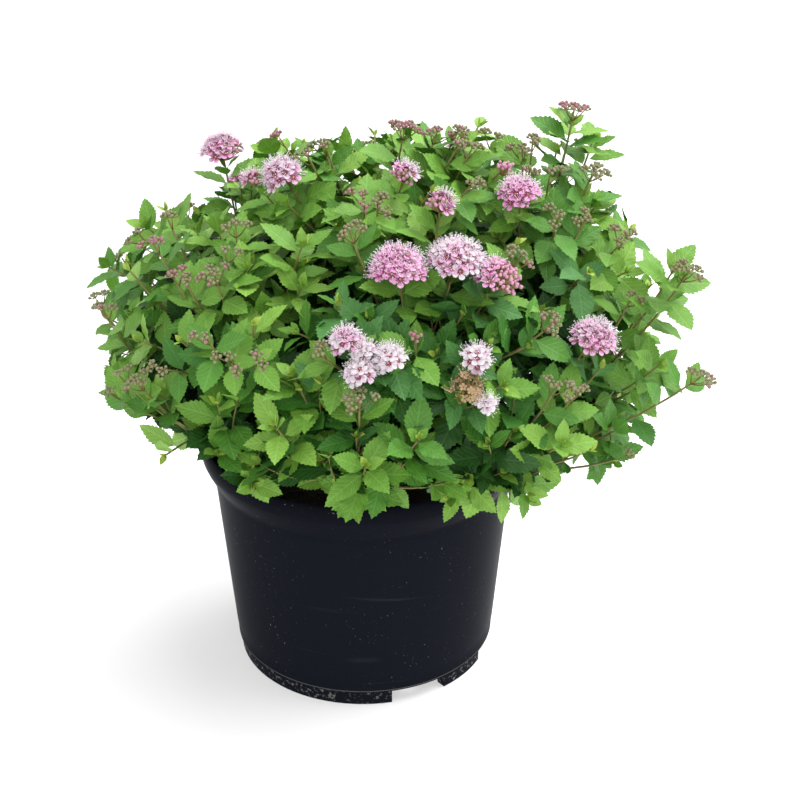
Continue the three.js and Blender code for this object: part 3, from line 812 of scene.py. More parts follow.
def leaf_points(leaves, outline, width_share):
    """The points of many leaves, each folded along its middle, arched, swayed and wavy at its edge."""
    root, along, facing, size = gathered(leaves, "root", "along", "facing", "size")
    size = size[:, None]
    draw = np.array([[chance(leaf.seed, salt) for salt in range(4)] for leaf in leaves])
    x, y = outline[None, :, 0], outline[None, :, 1]
    width = size * width_share * (0.88 + 0.24 * draw[:, :1])
    fold = 0.06 + 0.26 * draw[:, 1:2] + 0.06 * np.sin(y * 22)
    arch = 0.02 + 0.15 * draw[:, 2:3]
    sway = (draw[:, 3:4] - 0.5) * 0.16
    local = (
        (x * width + sway * size * y**2, np.cross(along, facing)),
        (y * size, along),
        (fold * width * np.abs(x) - arch * size * y**2, facing),
    )
    return (root[:, None] + sum(far[..., None] * axis[:, None] for far, axis in local)).reshape(-1, 3)


# ------------------------------------------------------------------ flowers and buds

PALETTES = {
    "rose": ("rose", "rose", "pink", "rose", "pink"),
    "pink": ("pink", "pale", "pink", "rose", "pink"),
    "pale": ("pale", "white", "pale", "pink", "pale"),
    "white": ("white", "white", "pale", "white", "white"),
    "withered": ("withered", "dried_bud", "withered", "withered", "dried_bud"),
}
FOOT_SHARES = {"rose": 0.95, "pink": 0.8, "pale": 0.5, "white": 0.3, "withered": 0.1}
SHRIVELLED = 0.5  # a withered flower's size
BUDS_TOGETHER = 3
FLOWER_ROOM = 3.2  # from the outermost flowers' middles to the head's edge
STAMENS = 12
ROSE_STAMENS = 7  # the deepest flowers have only just opened
ANTHER = 0.3
ROSY_SHARES = (0.04, 0.75)  # of a cluster's buds, in a tan cluster and in a rosy one


# A flower head's dome: how wide and deep it is round its middle. A bloom is a flower or a bud.
Dome = namedtuple("Dome", "middle axis radius depth head seed")
Bloom = namedtuple("Bloom", "place normal size kind seed", defaults=(0,))


def domes(shoots):
    for shoot in shoots:
        if shoot.role == "head":
            axis, across = unit(shoot.line.onward[-1] + UP * 0.5), shoot.thing.across
            yield Dome(shoot.line.tip, axis, across / 2 - FLOWER_ROOM, across * 0.26, shoot.thing, shoot.seed)


def blooms_of(dome):
    """The flowers and buds of one head, spread evenly over its dome, with the buds towards one side. The
    dome is full in its middle and turns down at its edge, and one that has gone over is looser."""
    axes = axes_of(dome.axis)
    gone_over = dome.head.petals == "withered"
    count = round((5 + dome.radius**2 / 5) * (2 if gone_over else 1))
    loose = 3 if gone_over else 1
    bud_side = chance(dome.seed, 3) * FULL_TURN
    for k in range(count):
        turn, share = k * GOLDEN_ANGLE, math.sqrt((k + 0.5) / count)
        radial = turned(*axes, turn)
        rise = dome.depth * (0.6 - 1.2 * share**2.6) + stray(k, dome.seed) * 1.6 * loose
        place = dome.middle + radial * dome.radius * share * (1.02 - 0.12 * share**4) + dome.axis * rise
        nod = (axes[0] * stray(k, 71) + axes[1] * stray(k, 72)) * 0.4 * loose
        normal = unit(dome.axis + radial * (1.25 * share**1.3) + nod)
        seed = dome.seed * 40 + k
        if dome.head.buds > 0 and share * math.cos(turn - bud_side) > 1 - 2 * dome.head.buds:
            for b in range(BUDS_TOGETHER):
                apart = turned(*axes, turn + 2.1 * b) * 1.5
                yield Bloom(place + apart, normal, 0.85 + 0.3 * chance(k, 6 + b), "magenta_bud", seed)
        else:
            kind = PALETTES[dome.head.petals][int(5 * chance(k, dome.seed + 2))]
            yield Bloom(place, normal, 0.9 + 0.2 * chance(k, 5), kind, seed)


def buds_of(shoot):
    """The buds of one branched cluster: a few small domes of buds, each with the hub of its branch."""
    tip, onward, seed = shoot.line.tip, unit(shoot.line.onward[-1] + UP * 0.3), shoot.seed
    axes, branches = axes_of(onward), shoot.thing.branches
    for b in range(branches):
        spread = 0 if b == 0 else 5.2 + 2.2 * chance(seed, 51 + b)
        radial = turned(*axes, b * FULL_TURN / branches + seed)
        hub = tip + radial * spread + onward * (1.5 - 0.12 * spread)
        axis = unit(onward + radial * spread * 0.06)
        sides = axes_of(axis)
        for k in range(6 + int(3 * chance(seed, 60 + b))):
            share = math.sqrt((k + 0.4) / 8)
            place = hub + turned(*sides, k * GOLDEN_ANGLE) * 3.5 * share + axis * (2.4 - 1.6 * share**2)
            rosy = chance(seed, 90 + 9 * b + k) < ROSY_SHARES[shoot.thing.rosy]
            size = 0.82 + 0.3 * chance(seed, 70 + 9 * b + k)
            yield hub, Bloom(place, axis, size, "rosy_bud" if rosy else "tan_bud")


def petal_shape():
    """Five rounded petals of a flower 2 across, cupped a little, with a UV that runs outward."""
    points, triangles, uv = [], [], []
    rows = [(0.17, 0.10), (0.42, 0.27), (0.68, 0.37), (0.88, 0.30), (1.0, 0.10)]
    for petal in range(5):
        turn, base = petal * FULL_TURN / 5, len(points)
        c, s = math.cos(turn), math.sin(turn)
        for out, half in rows:
            for side in (-half, 0, half):
                points.append((out * c - side * s, out * s + side * c, 0.16 * out**2 + 0.5 * side**2 - 0.02))
                uv.append((petal + side, out))
        for row in range(len(rows) - 1):
            for a in (base + 3 * row, base + 3 * row + 1):
                triangles += [(a, a + 3, a + 4), (a, a + 4, a + 1)]
    return Template(np.array(points), np.array(triangles), np.array(uv))


def turned_shape(rows, sides, top, bottom=None):
    """A small shape turned from (radius, height) rows, closed by a point at its top and, where one is given,
    at its bottom."""
    points = [] if bottom is None else [(0, 0, bottom)]
    first, last = len(points), len(points) + (len(rows) - 1) * sides
    turns = [k * FULL_TURN / sides for k in range(sides)]
    for radius, height in rows:
        points += [(radius * math.cos(turn), radius * math.sin(turn), height) for turn in turns]
    triangles = []
    for k in range(sides):
        n = (k + 1) % sides
        if first:
            triangles.append((0, 1 + n, 1 + k))
        for ring in range(first, last, sides):
            a, b = ring + k, ring + n
            triangles += [(a, b, b + sides), (a, b + sides, a + sides)]
        triangles.append((last + k, last + n, len(points)))
    return Template(np.array([*points, (0, 0, top)]), np.array(triangles))


# By radius and level: the nectar ring and the raised eye of a flower 2 across, and a bud 2 across.
DISC = turned_shape([(0.39, 0.02), (0.18, 0.13)], 10, 0.117)
EYE = turned_shape([(0.17, 0.1), (0.1, 0.16)], 8, 0.144)
BUD = turned_shape([(0.55, -0.8), (0.98, -0.2), (0.85, 0.45), (0.35, 0.9)], 6, 1.1, -1.0)

OCTAHEDRON = Template(
    np.array([(1, 0, 0), (-1, 0, 0), (0, 1, 0), (0, -1, 0), (0, 0, 1), (0, 0, -1)], float),
    np.array([(0, 2, 4), (2, 1, 4), (1, 3, 4), (3, 0, 4), (2, 0, 5), (1, 2, 5), (3, 1, 5), (0, 3, 5)]),
)


def stamen_mesh(name, blooms, flowers):
    """Long pale filaments that stand out all round the disc, each with its anther."""
    length, half = flowers.stamen / MM, flowers.across / MM / 2
    roots, tips = [], []
    for b in blooms:
        axes = axes_of(b.normal)
        for k in range(ROSE_STAMENS if b.kind == "rose" else STAMENS):
            radial = turned(*axes, k * GOLDEN_ANGLE + b.seed)
            tilt = math.radians(18 + 50 * chance(b.seed, k))
            filament = turned(b.normal, radial, tilt) * length * (0.75 + 0.4 * chance(k, b.seed))
            roots.append(b.place + b.normal * 0.3 + radial * half * 0.24)
            tips.append(roots[-1] + filament)
    roots, tips = np.array(roots), np.array(tips)
    points, triangles, _ = tubes(np.stack([roots, tips], axis=1), np.tile(FILAMENT, (len(roots), 1)), 3)
    anthers = (tips[:, None] + OCTAHEDRON.points * ANTHER).reshape(-1, 3)
    faces = repeated(OCTAHEDRON.triangles, len(OCTAHEDRON.points), len(tips)) + len(points)
    return array_mesh(name, np.concatenate([points, anthers]), np.concatenate([triangles, faces]))


# ------------------------------------------------------------------ materials


def add(tree, kind, inputs, output=0, **settings):
    """Adds a node, sets what it has to be set to, links or fills its inputs and gives one of its outputs."""
    node = tree.nodes.new(f"ShaderNode{kind}")
    for key, value in settings.items():
        setattr(node, key, value)
    for key, value in inputs.items():
        if isinstance(value, bpy.types.NodeSocket):
            tree.links.new(value, node.inputs[key])
        else:
            node.inputs[key].default_value = value
    return node.outputs[output] if node.outputs else None


def rgba(values, factor=1.0):
    """A colour, made lighter or darker by a factor, with its alpha."""
    return (*(min(1.0, v * factor) for v in values), 1.0)


def blank(name):
    material = bpy.data.materials.new(name)
    material.use_nodes = True
    material.node_tree.nodes.clear()
    return material, material.node_tree


def per_metre(millimetres):
    """The scale of a pattern whose features are so many millimetres across."""
    return 1000.0 / millimetres


def finish(material, inputs):
    """Ends a material in one shader with these inputs."""
    shader = add(material.node_tree, "BsdfPrincipled", inputs)
    add(material.node_tree, "OutputMaterial", {"Surface": shader})
    return material


def leaf_material(name, values):
    """Living leaf: a thin waxy blade with a pale midrib and five or six pairs of sunken side veins, so its
    light breaks along the veins and its green shifts a little from leaf to leaf."""
    material, tree = blank(name)
    place = add(tree, "TexCoord", {}, "Object")
    surface = add(tree, "UVMap", {}, uv_map="Surface")
    x = add(tree, "SeparateXYZ", {"Vector": surface}, "X")
    across = add(tree, "Math", {0: x}, operation="ABSOLUTE")
    slant = add(tree, "Math", {0: across, 1: -0.62, 2: x.node.outputs["Y"]}, operation="MULTIPLY_ADD")
    wave = add(tree, "Math", {0: slant, 1: 2 * math.pi * 7.5}, operation="MULTIPLY")
    vein = add(tree, "Math", {0: wave}, operation="SINE")
    vein = add(tree, "MapRange", {"Value": vein, "From Min": 0.55, "From Max": 1.0})
    rib = add(tree, "MapRange", {"Value": across, "From Min": 0.055, "From Max": 0.015})
    lines = add(tree, "Math", {0: rib, 1: vein}, operation="MAXIMUM")
    blotch = add(tree, "TexNoise", {"Vector": place, "Scale": per_metre(30), "Detail": 3.0})
    blade = add(tree, "Mix", {0: blotch, 6: rgba(values, 0.72), 7: rgba(values, 1.3)}, 2, data_type="RGBA")
    pale = add(tree, "Math", {0: lines, 1: 0.34}, operation="MULTIPLY")
    lit = rgba(v * 1.5 + 0.045 for v in values)
    tinted = add(tree, "Mix", {0: pale, 6: blade, 7: lit}, 2, data_type="RGBA")
    quilt = add(tree, "TexNoise", {"Vector": place, "Scale": per_metre(1.6), "Detail": 2.0})
    relief = add(tree, "Math", {0: lines, 1: -1.0, 2: quilt}, operation="MULTIPLY_ADD")
    bump = add(tree, "Bump", {"Height": relief, "Strength": 0.45, "Distance": 0.0004})
    wax = add(tree, "MapRange", {"Value": quilt, "To Min": 0.42, "To Max": 0.62})
    return finish(material, {"Base Color": tinted, "Roughness": wax, "Normal": bump, "IOR": 1.42})


def petal_material(name, values, foot, share):
    """Fresh petal: thin and matt, deeper in colour towards its foot, with faint lines along it."""
    material, tree = blank(name)
    surface = add(tree, "UVMap", {}, uv_map="Surface")
    y = add(tree, "SeparateXYZ", {"Vector": surface}, "Y")
    outer = add(tree, "MapRange", {"Value": y, "From Min": 0.34, "From Max": 0.8})
    foot = rgba(v + (f - v) * share for v, f in zip(values, foot))
    tinted = add(tree, "Mix", {0: outer, 6: foot, 7: rgba(values)}, 2, data_type="RGBA")
    stripes = {"Vector": surface, "Scale": 6.0, "Distortion": 1.0}
    lines = add(tree, "TexWave", stripes, "Fac", bands_direction="X")
    bump = add(tree, "Bump", {"Height": lines, "Strength": 0.15, "Distance": 0.0002})
    return finish(material, {"Base Color": tinted, "Roughness": 0.62, "Normal": bump, "Sheen Weight": 0.15})


def mottled_material(name, values, grain, roughness, contrast=0.35, depth=0.0002):
    """Small plant parts and wood: one colour that varies in patches, over a grain of some millimetres."""
    material, tree = blank(name)
    place = add(tree, "TexCoord", {}, "Object")
    patch = add(tree, "TexNoise", {"Vector": place, "Scale": per_metre(grain), "Detail": 4.0})
    dark, light = rgba(values, 1 - contrast), rgba(values, 1 + contrast)
    tinted = add(tree, "Mix", {0: patch, 6: dark, 7: light}, 2, data_type="RGBA")
    bump = add(tree, "Bump", {"Height": patch, "Strength": 0.5, "Distance": depth})
    rough = add(tree, "MapRange", {"Value": patch, "To Min": roughness - 0.1, "To Max": roughness + 0.1})
    return finish(material, {"Base Color": tinted, "Roughness": rough, "Normal": bump})


def bark_material(name, values):
    """Spirea bark: thin and brown, split along the stem, with paler peeling flakes."""
    material, tree = blank(name)
    surface = add(tree, "UVMap", {}, uv_map="Surface")
    stretched = add(tree, "Mapping", {"Vector": surface, "Scale": (9.0, 0.09, 1.0)})
    split = add(tree, "TexNoise", {"Vector": stretched, "Scale": 1.0, "Detail": 5.0})
    flakes = add(tree, "MapRange", {"Value": split, "From Min": 0.42, "From Max": 0.68})
    tinted = add(tree, "Mix", {0: flakes, 6: rgba(values, 0.55), 7: rgba(values, 1.5)}, 2, data_type="RGBA")
    bump = add(tree, "Bump", {"Height": split, "Strength": 0.9, "Distance": 0.0006})
    return finish(material, {"Base Color": tinted, "Roughness": 0.82, "Normal": bump})


# A scrape on the pot's front and, lower down, a painted highlight, a soft pale bar: middle, how far each
# fades out to, its tilt and how pale it is, in metres.
POT_SCRAPE_AND_HIGHLIGHT = (
    ((0.0135, -0.084, 0.0765), (0.026, 0.05, 0.0011), 0.11, 0.022),
    ((0.001, -0.08, 0.034), (0.013, 0.05, 0.0024), 0.0, 0.015),
)


def pot_material(name, values, dust):
    """Black polypropylene, thermoformed: a satin skin with fine scuffs and a scrape, small dry splashes of
    hard water all over it, a thick coat of limescale on the foot ring that stands in the wet and a thin pale
    line along the seam above it. A soft pale bar low on its front is a painted highlight, and the collar is
    painted darker as painted shade."""
    material, tree = blank(name)
    place = add(tree, "TexCoord", {}, "Object")
    height = add(tree, "SeparateXYZ", {"Vector": place}, "Z")

    def patches(vector, scale, detail, start, full):
        """Where a cloudy pattern lies between two of its levels."""
        cloud = add(tree, "TexNoise", {"Vector": vector, "Scale": scale, "Detail": detail})
        return add(tree, "MapRange", {"Value": cloud, "From Min": start, "From Max": full})

    specks = patches(place, per_metre(1.3), 2.0, 0.7, 0.765)
    areas = patches(place, per_metre(38), 3.0, 0.44, 0.66)
    specks = add(tree, "Math", {0: specks, 1: areas}, operation="MULTIPLY")
    crust_and_seam_line = patches(place, per_metre(2.2), 6.0, 0.55, 0.7)
    low = add(tree, "MapRange", {"Value": height, "From Min": 0.0105, "From Max": 0.0085})
    crust_and_seam_line = add(tree, "Math", {0: crust_and_seam_line, 1: low}, operation="MULTIPLY")
    # a thin pale line along the seam above the foot ring, in the dust colour
    seam = add(tree, "Math", {0: height, 1: 0.0106, 2: 0.0003}, operation="COMPARE")
    seam = add(tree, "Math", {0: seam, 1: 0.4}, operation="MULTIPLY")
    crust_and_seam_line = add(tree, "Math", {0: crust_and_seam_line, 1: seam}, operation="MAXIMUM")
    marks = add(tree, "Math", {0: specks, 1: crust_and_seam_line}, operation="MAXIMUM")
    level = {"Vector": place, "Scale": (18.0, 18.0, 420.0), "Rotation": (0.06, 0.03, 0)}
    scuffs = patches(add(tree, "Mapping", level), 1.0, 5.0, 0.66, 0.78)
    scuffs_and_highlight = add(tree, "Math", {0: scuffs, 1: 0.02}, operation="MULTIPLY")
    # the second of these marks is a painted highlight, a soft pale bar, laid in the dust colour like the
    # scrape
    for middle, reach, tilt, strength in POT_SCRAPE_AND_HIGHLIGHT:
        near = {"Vector": place, "Location": middle, "Rotation": (0, tilt, 0), "Scale": reach}
        near = add(tree, "Mapping", near, vector_type="TEXTURE")
        apart = add(tree, "VectorMath", {0: near}, "Value", operation="LENGTH")
        scrape_and_highlight = add(tree, "MapRange", {"Value": apart, "From Min": 1.0, "From Max": 0.3, "To Max": strength})
        scuffs_and_highlight = add(tree, "Math", {0: scuffs_and_highlight, 1: scrape_and_highlight}, operation="MAXIMUM")
    marks = add(tree, "Math", {0: marks, 1: 0.45}, operation="MULTIPLY")
    # cover holds the splashes, the limescale and the seam line, the scuffs, the scrape and the painted
    # highlight
    cover = add(tree, "Math", {0: marks, 1: scuffs_and_highlight}, operation="MAXIMUM")
    # Painted shade: the collar is painted darker from 112 mm up, fully at 122 mm, to take back the light that
    # the bright floor throws up onto its flank.
    collar = add(tree, "MapRange", {"Value": height, "From Min": 0.112, "From Max": 0.122})
    skin = add(tree, "Mix", {0: collar, 6: rgba(values), 7: rgba(values, 0.8)}, 2, data_type="RGBA")
    tinted = add(tree, "Mix", {0: cover, 6: skin, 7: rgba(dust)}, 2, data_type="RGBA")
    grain = add(tree, "TexNoise", {"Vector": place, "Scale": per_metre(2.2), "Detail": 3.0})
    bump = add(tree, "Bump", {"Height": grain, "Strength": 0.25, "Distance": 0.0003})
    dull = add(tree, "MapRange", {"Value": cover, "From Max": 0.6, "To Min": 0.38, "To Max": 0.85})
    gloss = {"Roughness": dull, "IOR": 1.3, "Specular IOR Level": 0.025}
    return finish(material, {"Base Color": tinted, "Normal": bump, **gloss})


# ------------------------------------------------------------------ pot and potting mix

# The pot's body, by how far it lies in from the rim's radius or under the rim.
BODY_INSET = 7.4
BASE_INSET = 16.8
FLANK_DROP = 22.5
WIDEST_DROP = 9.5
POT_FLOOR = 2.5
# Outward and up from the body's lowest edge, in and down from the rim, and in and down from the inner wall.
BASE_EDGE = ((-1.0, 0), (0, 0.6), (0.15, 1.8), (0, 2.4))
COLLAR = ((0.4, 6.4), (0.5, 4.2), (1.0, 2.1), (1.8, 0.6), (2.6, 0))
LIP = ((1.6, 0.4), (1.2, 3), (0.8, 6))
BODY_LEVELS = (0.1, 0.3, 0.5, 0.7, 0.9, 0.98)

DRAIN_HOLES = ((0, 0), (-64, 62), (-12, 62), (116, 62), (168, 62))  # azimuth, distance from the axis
DRAIN_RADIUS = 6.5
FOOT_ARCS = ((-51, 26), (1, 102), (129, 26), (181, 102))  # where each starts and how far it runs
FOOT_INNER = 70.0
FOOT_OUTER = 76.5

MIX_RADIUS = 85.2
MIX_AT_WALL = 119.0
ROOT_BALL = ((0, 12), (75, 12), (84.6, 112), (MIX_RADIUS, 118.4))  # radius and height, from its foot up
MIX_RINGS = 26
CRUMBS_FROM = 118.5  # the height over which the mix is rough
CRUMBS_FADE = 20.0  # nearer to the axis than this it gets smoother
CHIPS = 700
CHIP_INNER = 20.0  # the chips lie from here outwards, over so wide a ring
CHIP_RING = 62.0
CHIPS_LOWEST = 84.0  # how far out their level comes down to the mix's at the wall


def spun(profile, steps, angle=FULL_TURN, start=0.0):
    """A bmesh turned from a profile of (radius, height) pairs in millimetres about the pot's axis."""
    shape = bmesh.new()
    c, s = math.cos(start), math.sin(start)
    verts = [shape.verts.new((r * MM * c, r * MM * s, z * MM)) for r, z in profile]
    edges = [shape.edges.new(pair) for pair in zip(verts, verts[1:])]
    spin = {"cent": (0, 0, 0), "axis": (0, 0, 1), "steps": steps, "angle": angle}
    bmesh.ops.spin(shape, geom=verts + edges, use_merge=angle == FULL_TURN, **spin)
    bmesh.ops.remove_doubles(shape, verts=shape.verts, dist=1e-6)
    return shape


def pot_profile(pot):
    """The turned shell: floor, body, the flank under the collar, the collar, its lip and the inside."""
    foot, height, rim, wall = (v / MM for v in (pot.foot_height, pot.height, pot.rim_radius, pot.wall))
    top, base, flank_foot, inside = rim - BODY_INSET, rim - BASE_INSET, height - FLANK_DROP, rim - wall
    t = np.linspace(0, 1, 11)[:, None]
    widest = (rim - 0.7, height - WIDEST_DROP)
    start, bend, end = np.array([(top, flank_foot), (rim - 3.2, flank_foot + 6.2), widest])
    flank = [tuple(p) for p in (1 - t) ** 2 * start + 2 * t * (1 - t) * bend + t**2 * end]
    outer = [(0, foot), *((base + out, foot + up) for out, up in BASE_EDGE)]
    outer += [(base + (top - base) * level, foot + (flank_foot - foot) * level) for level in BODY_LEVELS]
    outer += flank + [(rim - inward, height - down) for inward, down in COLLAR]
    lip = [(inside - inward, height - down) for inward, down in LIP]
    inner = [(r - wall, z) for r, z in reversed(flank)]
    return outer + lip + inner + [(base - wall, foot + POT_FLOOR), (0, foot + POT_FLOOR)]


def drained(shell, foot):
    """The shell's mesh with its drain holes cut."""
    cutters = bmesh.new()
    hole = {"cap_ends": True, "segments": 24, "radius1": DRAIN_RADIUS * MM, "radius2": DRAIN_RADIUS * MM}
    for azimuth, out in DRAIN_HOLES:
        way = direction(azimuth, 0) * out
        place = Matrix.Translation(Vector((way[0], way[1], foot)) * MM)
        bmesh.ops.create_cone(cutters, depth=foot * MM, matrix=place, **hole)
    whole, cutter = placed("pot_shell", shell), placed("drain_cutters", mesh_of("drain_cutters", cutters))
    holes = whole.modifiers.new("Drain holes", "BOOLEAN")
    holes.operation, holes.solver, holes.object = "DIFFERENCE", "EXACT", cutter
    mesh = bpy.data.meshes.new_from_object(whole.evaluated_get(bpy.context.evaluated_depsgraph_get()))
    for scrap in (whole, cutter):
        bpy.data.objects.remove(scrap)
    return mesh


def pot_mesh(pot):
    """The drained shell on its foot ring, which four notches part."""
    foot = pot.foot_height / MM
    shell = spun(pot_profile(pot), 128)
    bmesh.ops.recalc_face_normals(shell, faces=shell.faces)
    parts = [drained(mesh_of("pot_shell", shell), foot)]
    a, b, top = FOOT_INNER, FOOT_OUTER, foot + 1
    section = [(a, 0.5), (a, top), (b, top), (b, 0.6), (b - 0.5, 0), (a + 0.5, 0), (a, 0.5)]
    for start, angle in FOOT_ARCS:
        arc = spun(section, max(6, angle // 4), math.radians(angle), math.radians(start))
        bmesh.ops.holes_fill(arc, edges=[edge for edge in arc.edges if edge.is_boundary])
        bmesh.ops.recalc_face_normals(arc, faces=arc.faces)
        parts.append(mesh_of("foot", arc))
    whole = bmesh.new()
    for part in parts:
        whole.from_mesh(part)
        bpy.data.meshes.remove(part)
    mesh = mesh_of("nursery_pot", whole)
    mesh.shade_smooth()
    mesh.set_sharp_from_angle(angle=math.radians(38))
    return mesh


def mix_mesh():
    """The filled pot's contents: level at the wall, a little higher at the stool, with a crumbly top."""
    rings, rise = MIX_RINGS, SOIL_LEVEL - MIX_AT_WALL
    top = [(MIX_RADIUS * (1 - k / rings), MIX_AT_WALL + rise * k / rings) for k in range(1, rings)]
    shape = spun([*ROOT_BALL, *top, (0, SOIL_LEVEL)], 110)
    for vert in shape.verts:
        if vert.co.z > CRUMBS_FROM * MM:
            rough = noise.noise(vert.co * 160) * 1.1 + noise.noise(vert.co * 520) * 0.7
            vert.co.z += rough * MM * min(1.0, vert.co.xy.length / (CRUMBS_FADE * MM))
    bmesh.ops.recalc_face_normals(shape, faces=shape.faces)
    mesh = mesh_of("potting_mix_top", shape)
    mesh.shade_smooth()
    return mesh


def chip_points():
    """Bits of bark and fibre that lie on the potting mix."""
    points = []
    for k in range(CHIPS):
        out, turn = CHIP_INNER + CHIP_RING * math.sqrt(chance(k, 1)), chance(k, 2) * FULL_TURN
        level = MIX_AT_WALL + (SOIL_LEVEL - MIX_AT_WALL) * (1 - out / CHIPS_LOWEST)
        place = (out * math.cos(turn), out * math.sin(turn), level + 0.6)
        size = (1.2 + 2.6 * chance(k, 3) ** 2, 0.7 + 0.9 * chance(k, 4), 0.5 + 0.5 * chance(k, 5))
        x, y, z = (OCTAHEDRON.points * size).T
        twist = chance(k, 6) * 6.28
        c, s = math.cos(twist), math.sin(twist)
        points.append(np.stack([x * c - y * s, x * s + y * c, z], -1) + place)
    return np.concatenate(points)


# ------------------------------------------------------------------ operators

# Radii along a limb, from its root to its tip.
CORE_LIMB = (1.7, 1.2)
SHOOT_LIMB = (0.85, 0.52)
TWIG_LIMB = (0.58, 0.4)
STALK = (0.42, 0.34, 0.26)
FILAMENT = (0.12, 0.08)  # coarser than real ones, which are a tenth of a millimetre thick, so that they show
STEM_TAPER = 0.67
STEM_RINGS = 30
STEM_ROOTS_IN = 0.25  # how far the stems reach into the stool, as a share of the way to its middle
TWIG_RINGS = 9
STOOL_FLARE = 1.12  # the stool's foot is wider, and cut off level
STOOL_CUT = 1.5

# Place, the point that it faces, its side in metres and its power in watts.
SOFTBOXES = {
    "key": ((0.75, 0.3, 1.45), (0.0, 0.0, 0.2), 1.2, 22),
    "front": ((0.2, -1.5, 1.2), (0.0, 0.0, 0.15), 1.3, 3),
    "floor lamp": ((0.62, 0.2, 1.1), (0.0, 0.0, 0.05), 1.4, 62),
}


class SpireaOperator:
    bl_options = {"REGISTER", "UNDO"}


class SPIREA_OT_pot(SpireaOperator, bpy.types.Operator):
    """Build the nursery pot"""

    bl_idname = "spirea.pot"
    bl_label = "Pot"

    def execute(self, context):
        pot = context.scene.spirea_pot
        plastic = pot_material("Black polypropylene, thermoformed", pot.plastic, pot.dust)
        show(pot_mesh(pot), plastic, ["pot"])
        return {"FINISHED"}


class SPIREA_OT_mix(SpireaOperator, bpy.types.Operator):
    """Build the potting mix and the bits of bark on it"""

    bl_idname = "spirea.mix"
    bl_label = "Potting mix"

    def execute(self, context):
        values = context.scene.spirea_pot.mix
        peat = mottled_material("Moist peat", values, 3, 0.9, 0.5, 0.001)
        show(mix_mesh(), peat, ["potting_mix"])
        bark = mottled_material("Composted bark", rgba(values, 2.6)[:3], 2, 0.85, 0.5)
        show(copied_mesh("bark_chips", OCTAHEDRON, chip_points()), bark)
        return {"FINISHED"}


class SPIREA_OT_wood(SpireaOperator, bpy.types.Operator):
    """Build the stool and the stems that carry the masses of foliage"""

    bl_idname = "spirea.wood"
    bl_label = "Stool and stems"

    def execute(self, context):
        wood = context.scene.spirea_wood
        root = wood.stem_radius / MM
        paths = np.array([mass.stem.evenly(STEM_RINGS) for mass in MASSES])
        paths[:, 0] += (HEART - paths[:, 0]) * STEM_ROOTS_IN
        taper = np.linspace(root, root * STEM_TAPER, STEM_RINGS)
        relief = np.array([[1 + 0.1 * noise.noise(Vector(p) * 0.25) for p in path] for path in paths])
        stems = array_mesh("stems", *tubes(paths, taper * relief, 12))
        names = [f"stem_{mass.label}" for mass in MASSES]
        show(stems, bark_material("Spirea bark, peeling", wood.bark), names)

        shape = bmesh.new()
        bmesh.ops.create_icosphere(shape, subdivisions=5, radius=STOOL_RADIUS * MM)
        for vert in shape.verts:
            knobs = 1 + 0.16 * noise.noise(vert.co * 180) + 0.05 * noise.noise(vert.co * 700)
            flare = STOOL_FLARE if vert.co.z < 0 else 1.0
            x, y, z = vert.co * knobs
            vert.co = Vector((x * flare, y * flare, max(z, -STOOL_CUT * MM)))
        bmesh.ops.translate(shape, verts=shape.verts, vec=Vector(HEART * MM))
        bmesh.ops.recalc_face_normals(shape, faces=shape.faces)
        stool = mesh_of("woody_stool", shape)
        stool.shade_smooth()
        show(stool, mottled_material("Old spirea wood", wood.bark, 3, 0.85, 0.5, 0.001), ["stool"])
        return {"FINISHED"}


class SPIREA_OT_twigs(SpireaOperator, bpy.types.Operator):
    """Build the shoots and twigs of every mass"""

    bl_idname = "spirea.twigs"
    bl_label = "Shoots and twigs"

    def execute(self, context):
        limbs = [(mass.inner, CORE_LIMB) for mass in MASSES]
        for shoot in all_shoots(context.scene.spirea_leaves):
            limbs.append((shoot.line, TWIG_LIMB if shoot.role in ("twig", "inner") else SHOOT_LIMB))
        paths = np.array([line.evenly(TWIG_RINGS) for line, _ in limbs])
        radii = np.array([np.linspace(*ends, TWIG_RINGS) for _, ends in limbs])
        bark = bark_material("Young spirea bark", context.scene.spirea_wood.twig)
        show(array_mesh("twigs", *tubes(paths, radii, 6)), bark)
        return {"FINISHED"}


class SPIREA_OT_leaves(SpireaOperator, bpy.types.Operator):
    """Build the leaves, one piece for each green"""

    bl_idname = "spirea.leaves"
    bl_label = "Leaves"

    def execute(self, context):
        settings = context.scene.spirea_leaves
        size = settings.length / MM
        shoots = all_shoots(settings)
        heads = list(domes(shoots))
        leaves = [leaf for shoot in shoots for leaf in leaves_on(shoot, heads, size)]
        for shoot in shoots:
            if shoot.role in ("leafy", "leader", "twig"):
                leaves += unfolding_leaves(shoot, size)
        blade = leaf_shape()
        for tint in TINTS:
            mine = [leaf for leaf in leaves if leaf.tint == tint]
            points = leaf_points(mine, blade.points, settings.width_share)
            material = leaf_material(f"Spirea leaf, {tint}", getattr(settings, tint))
            show(copied_mesh(f"leaves_{tint}", blade, points), material, NODES)
        return {"FINISHED"}


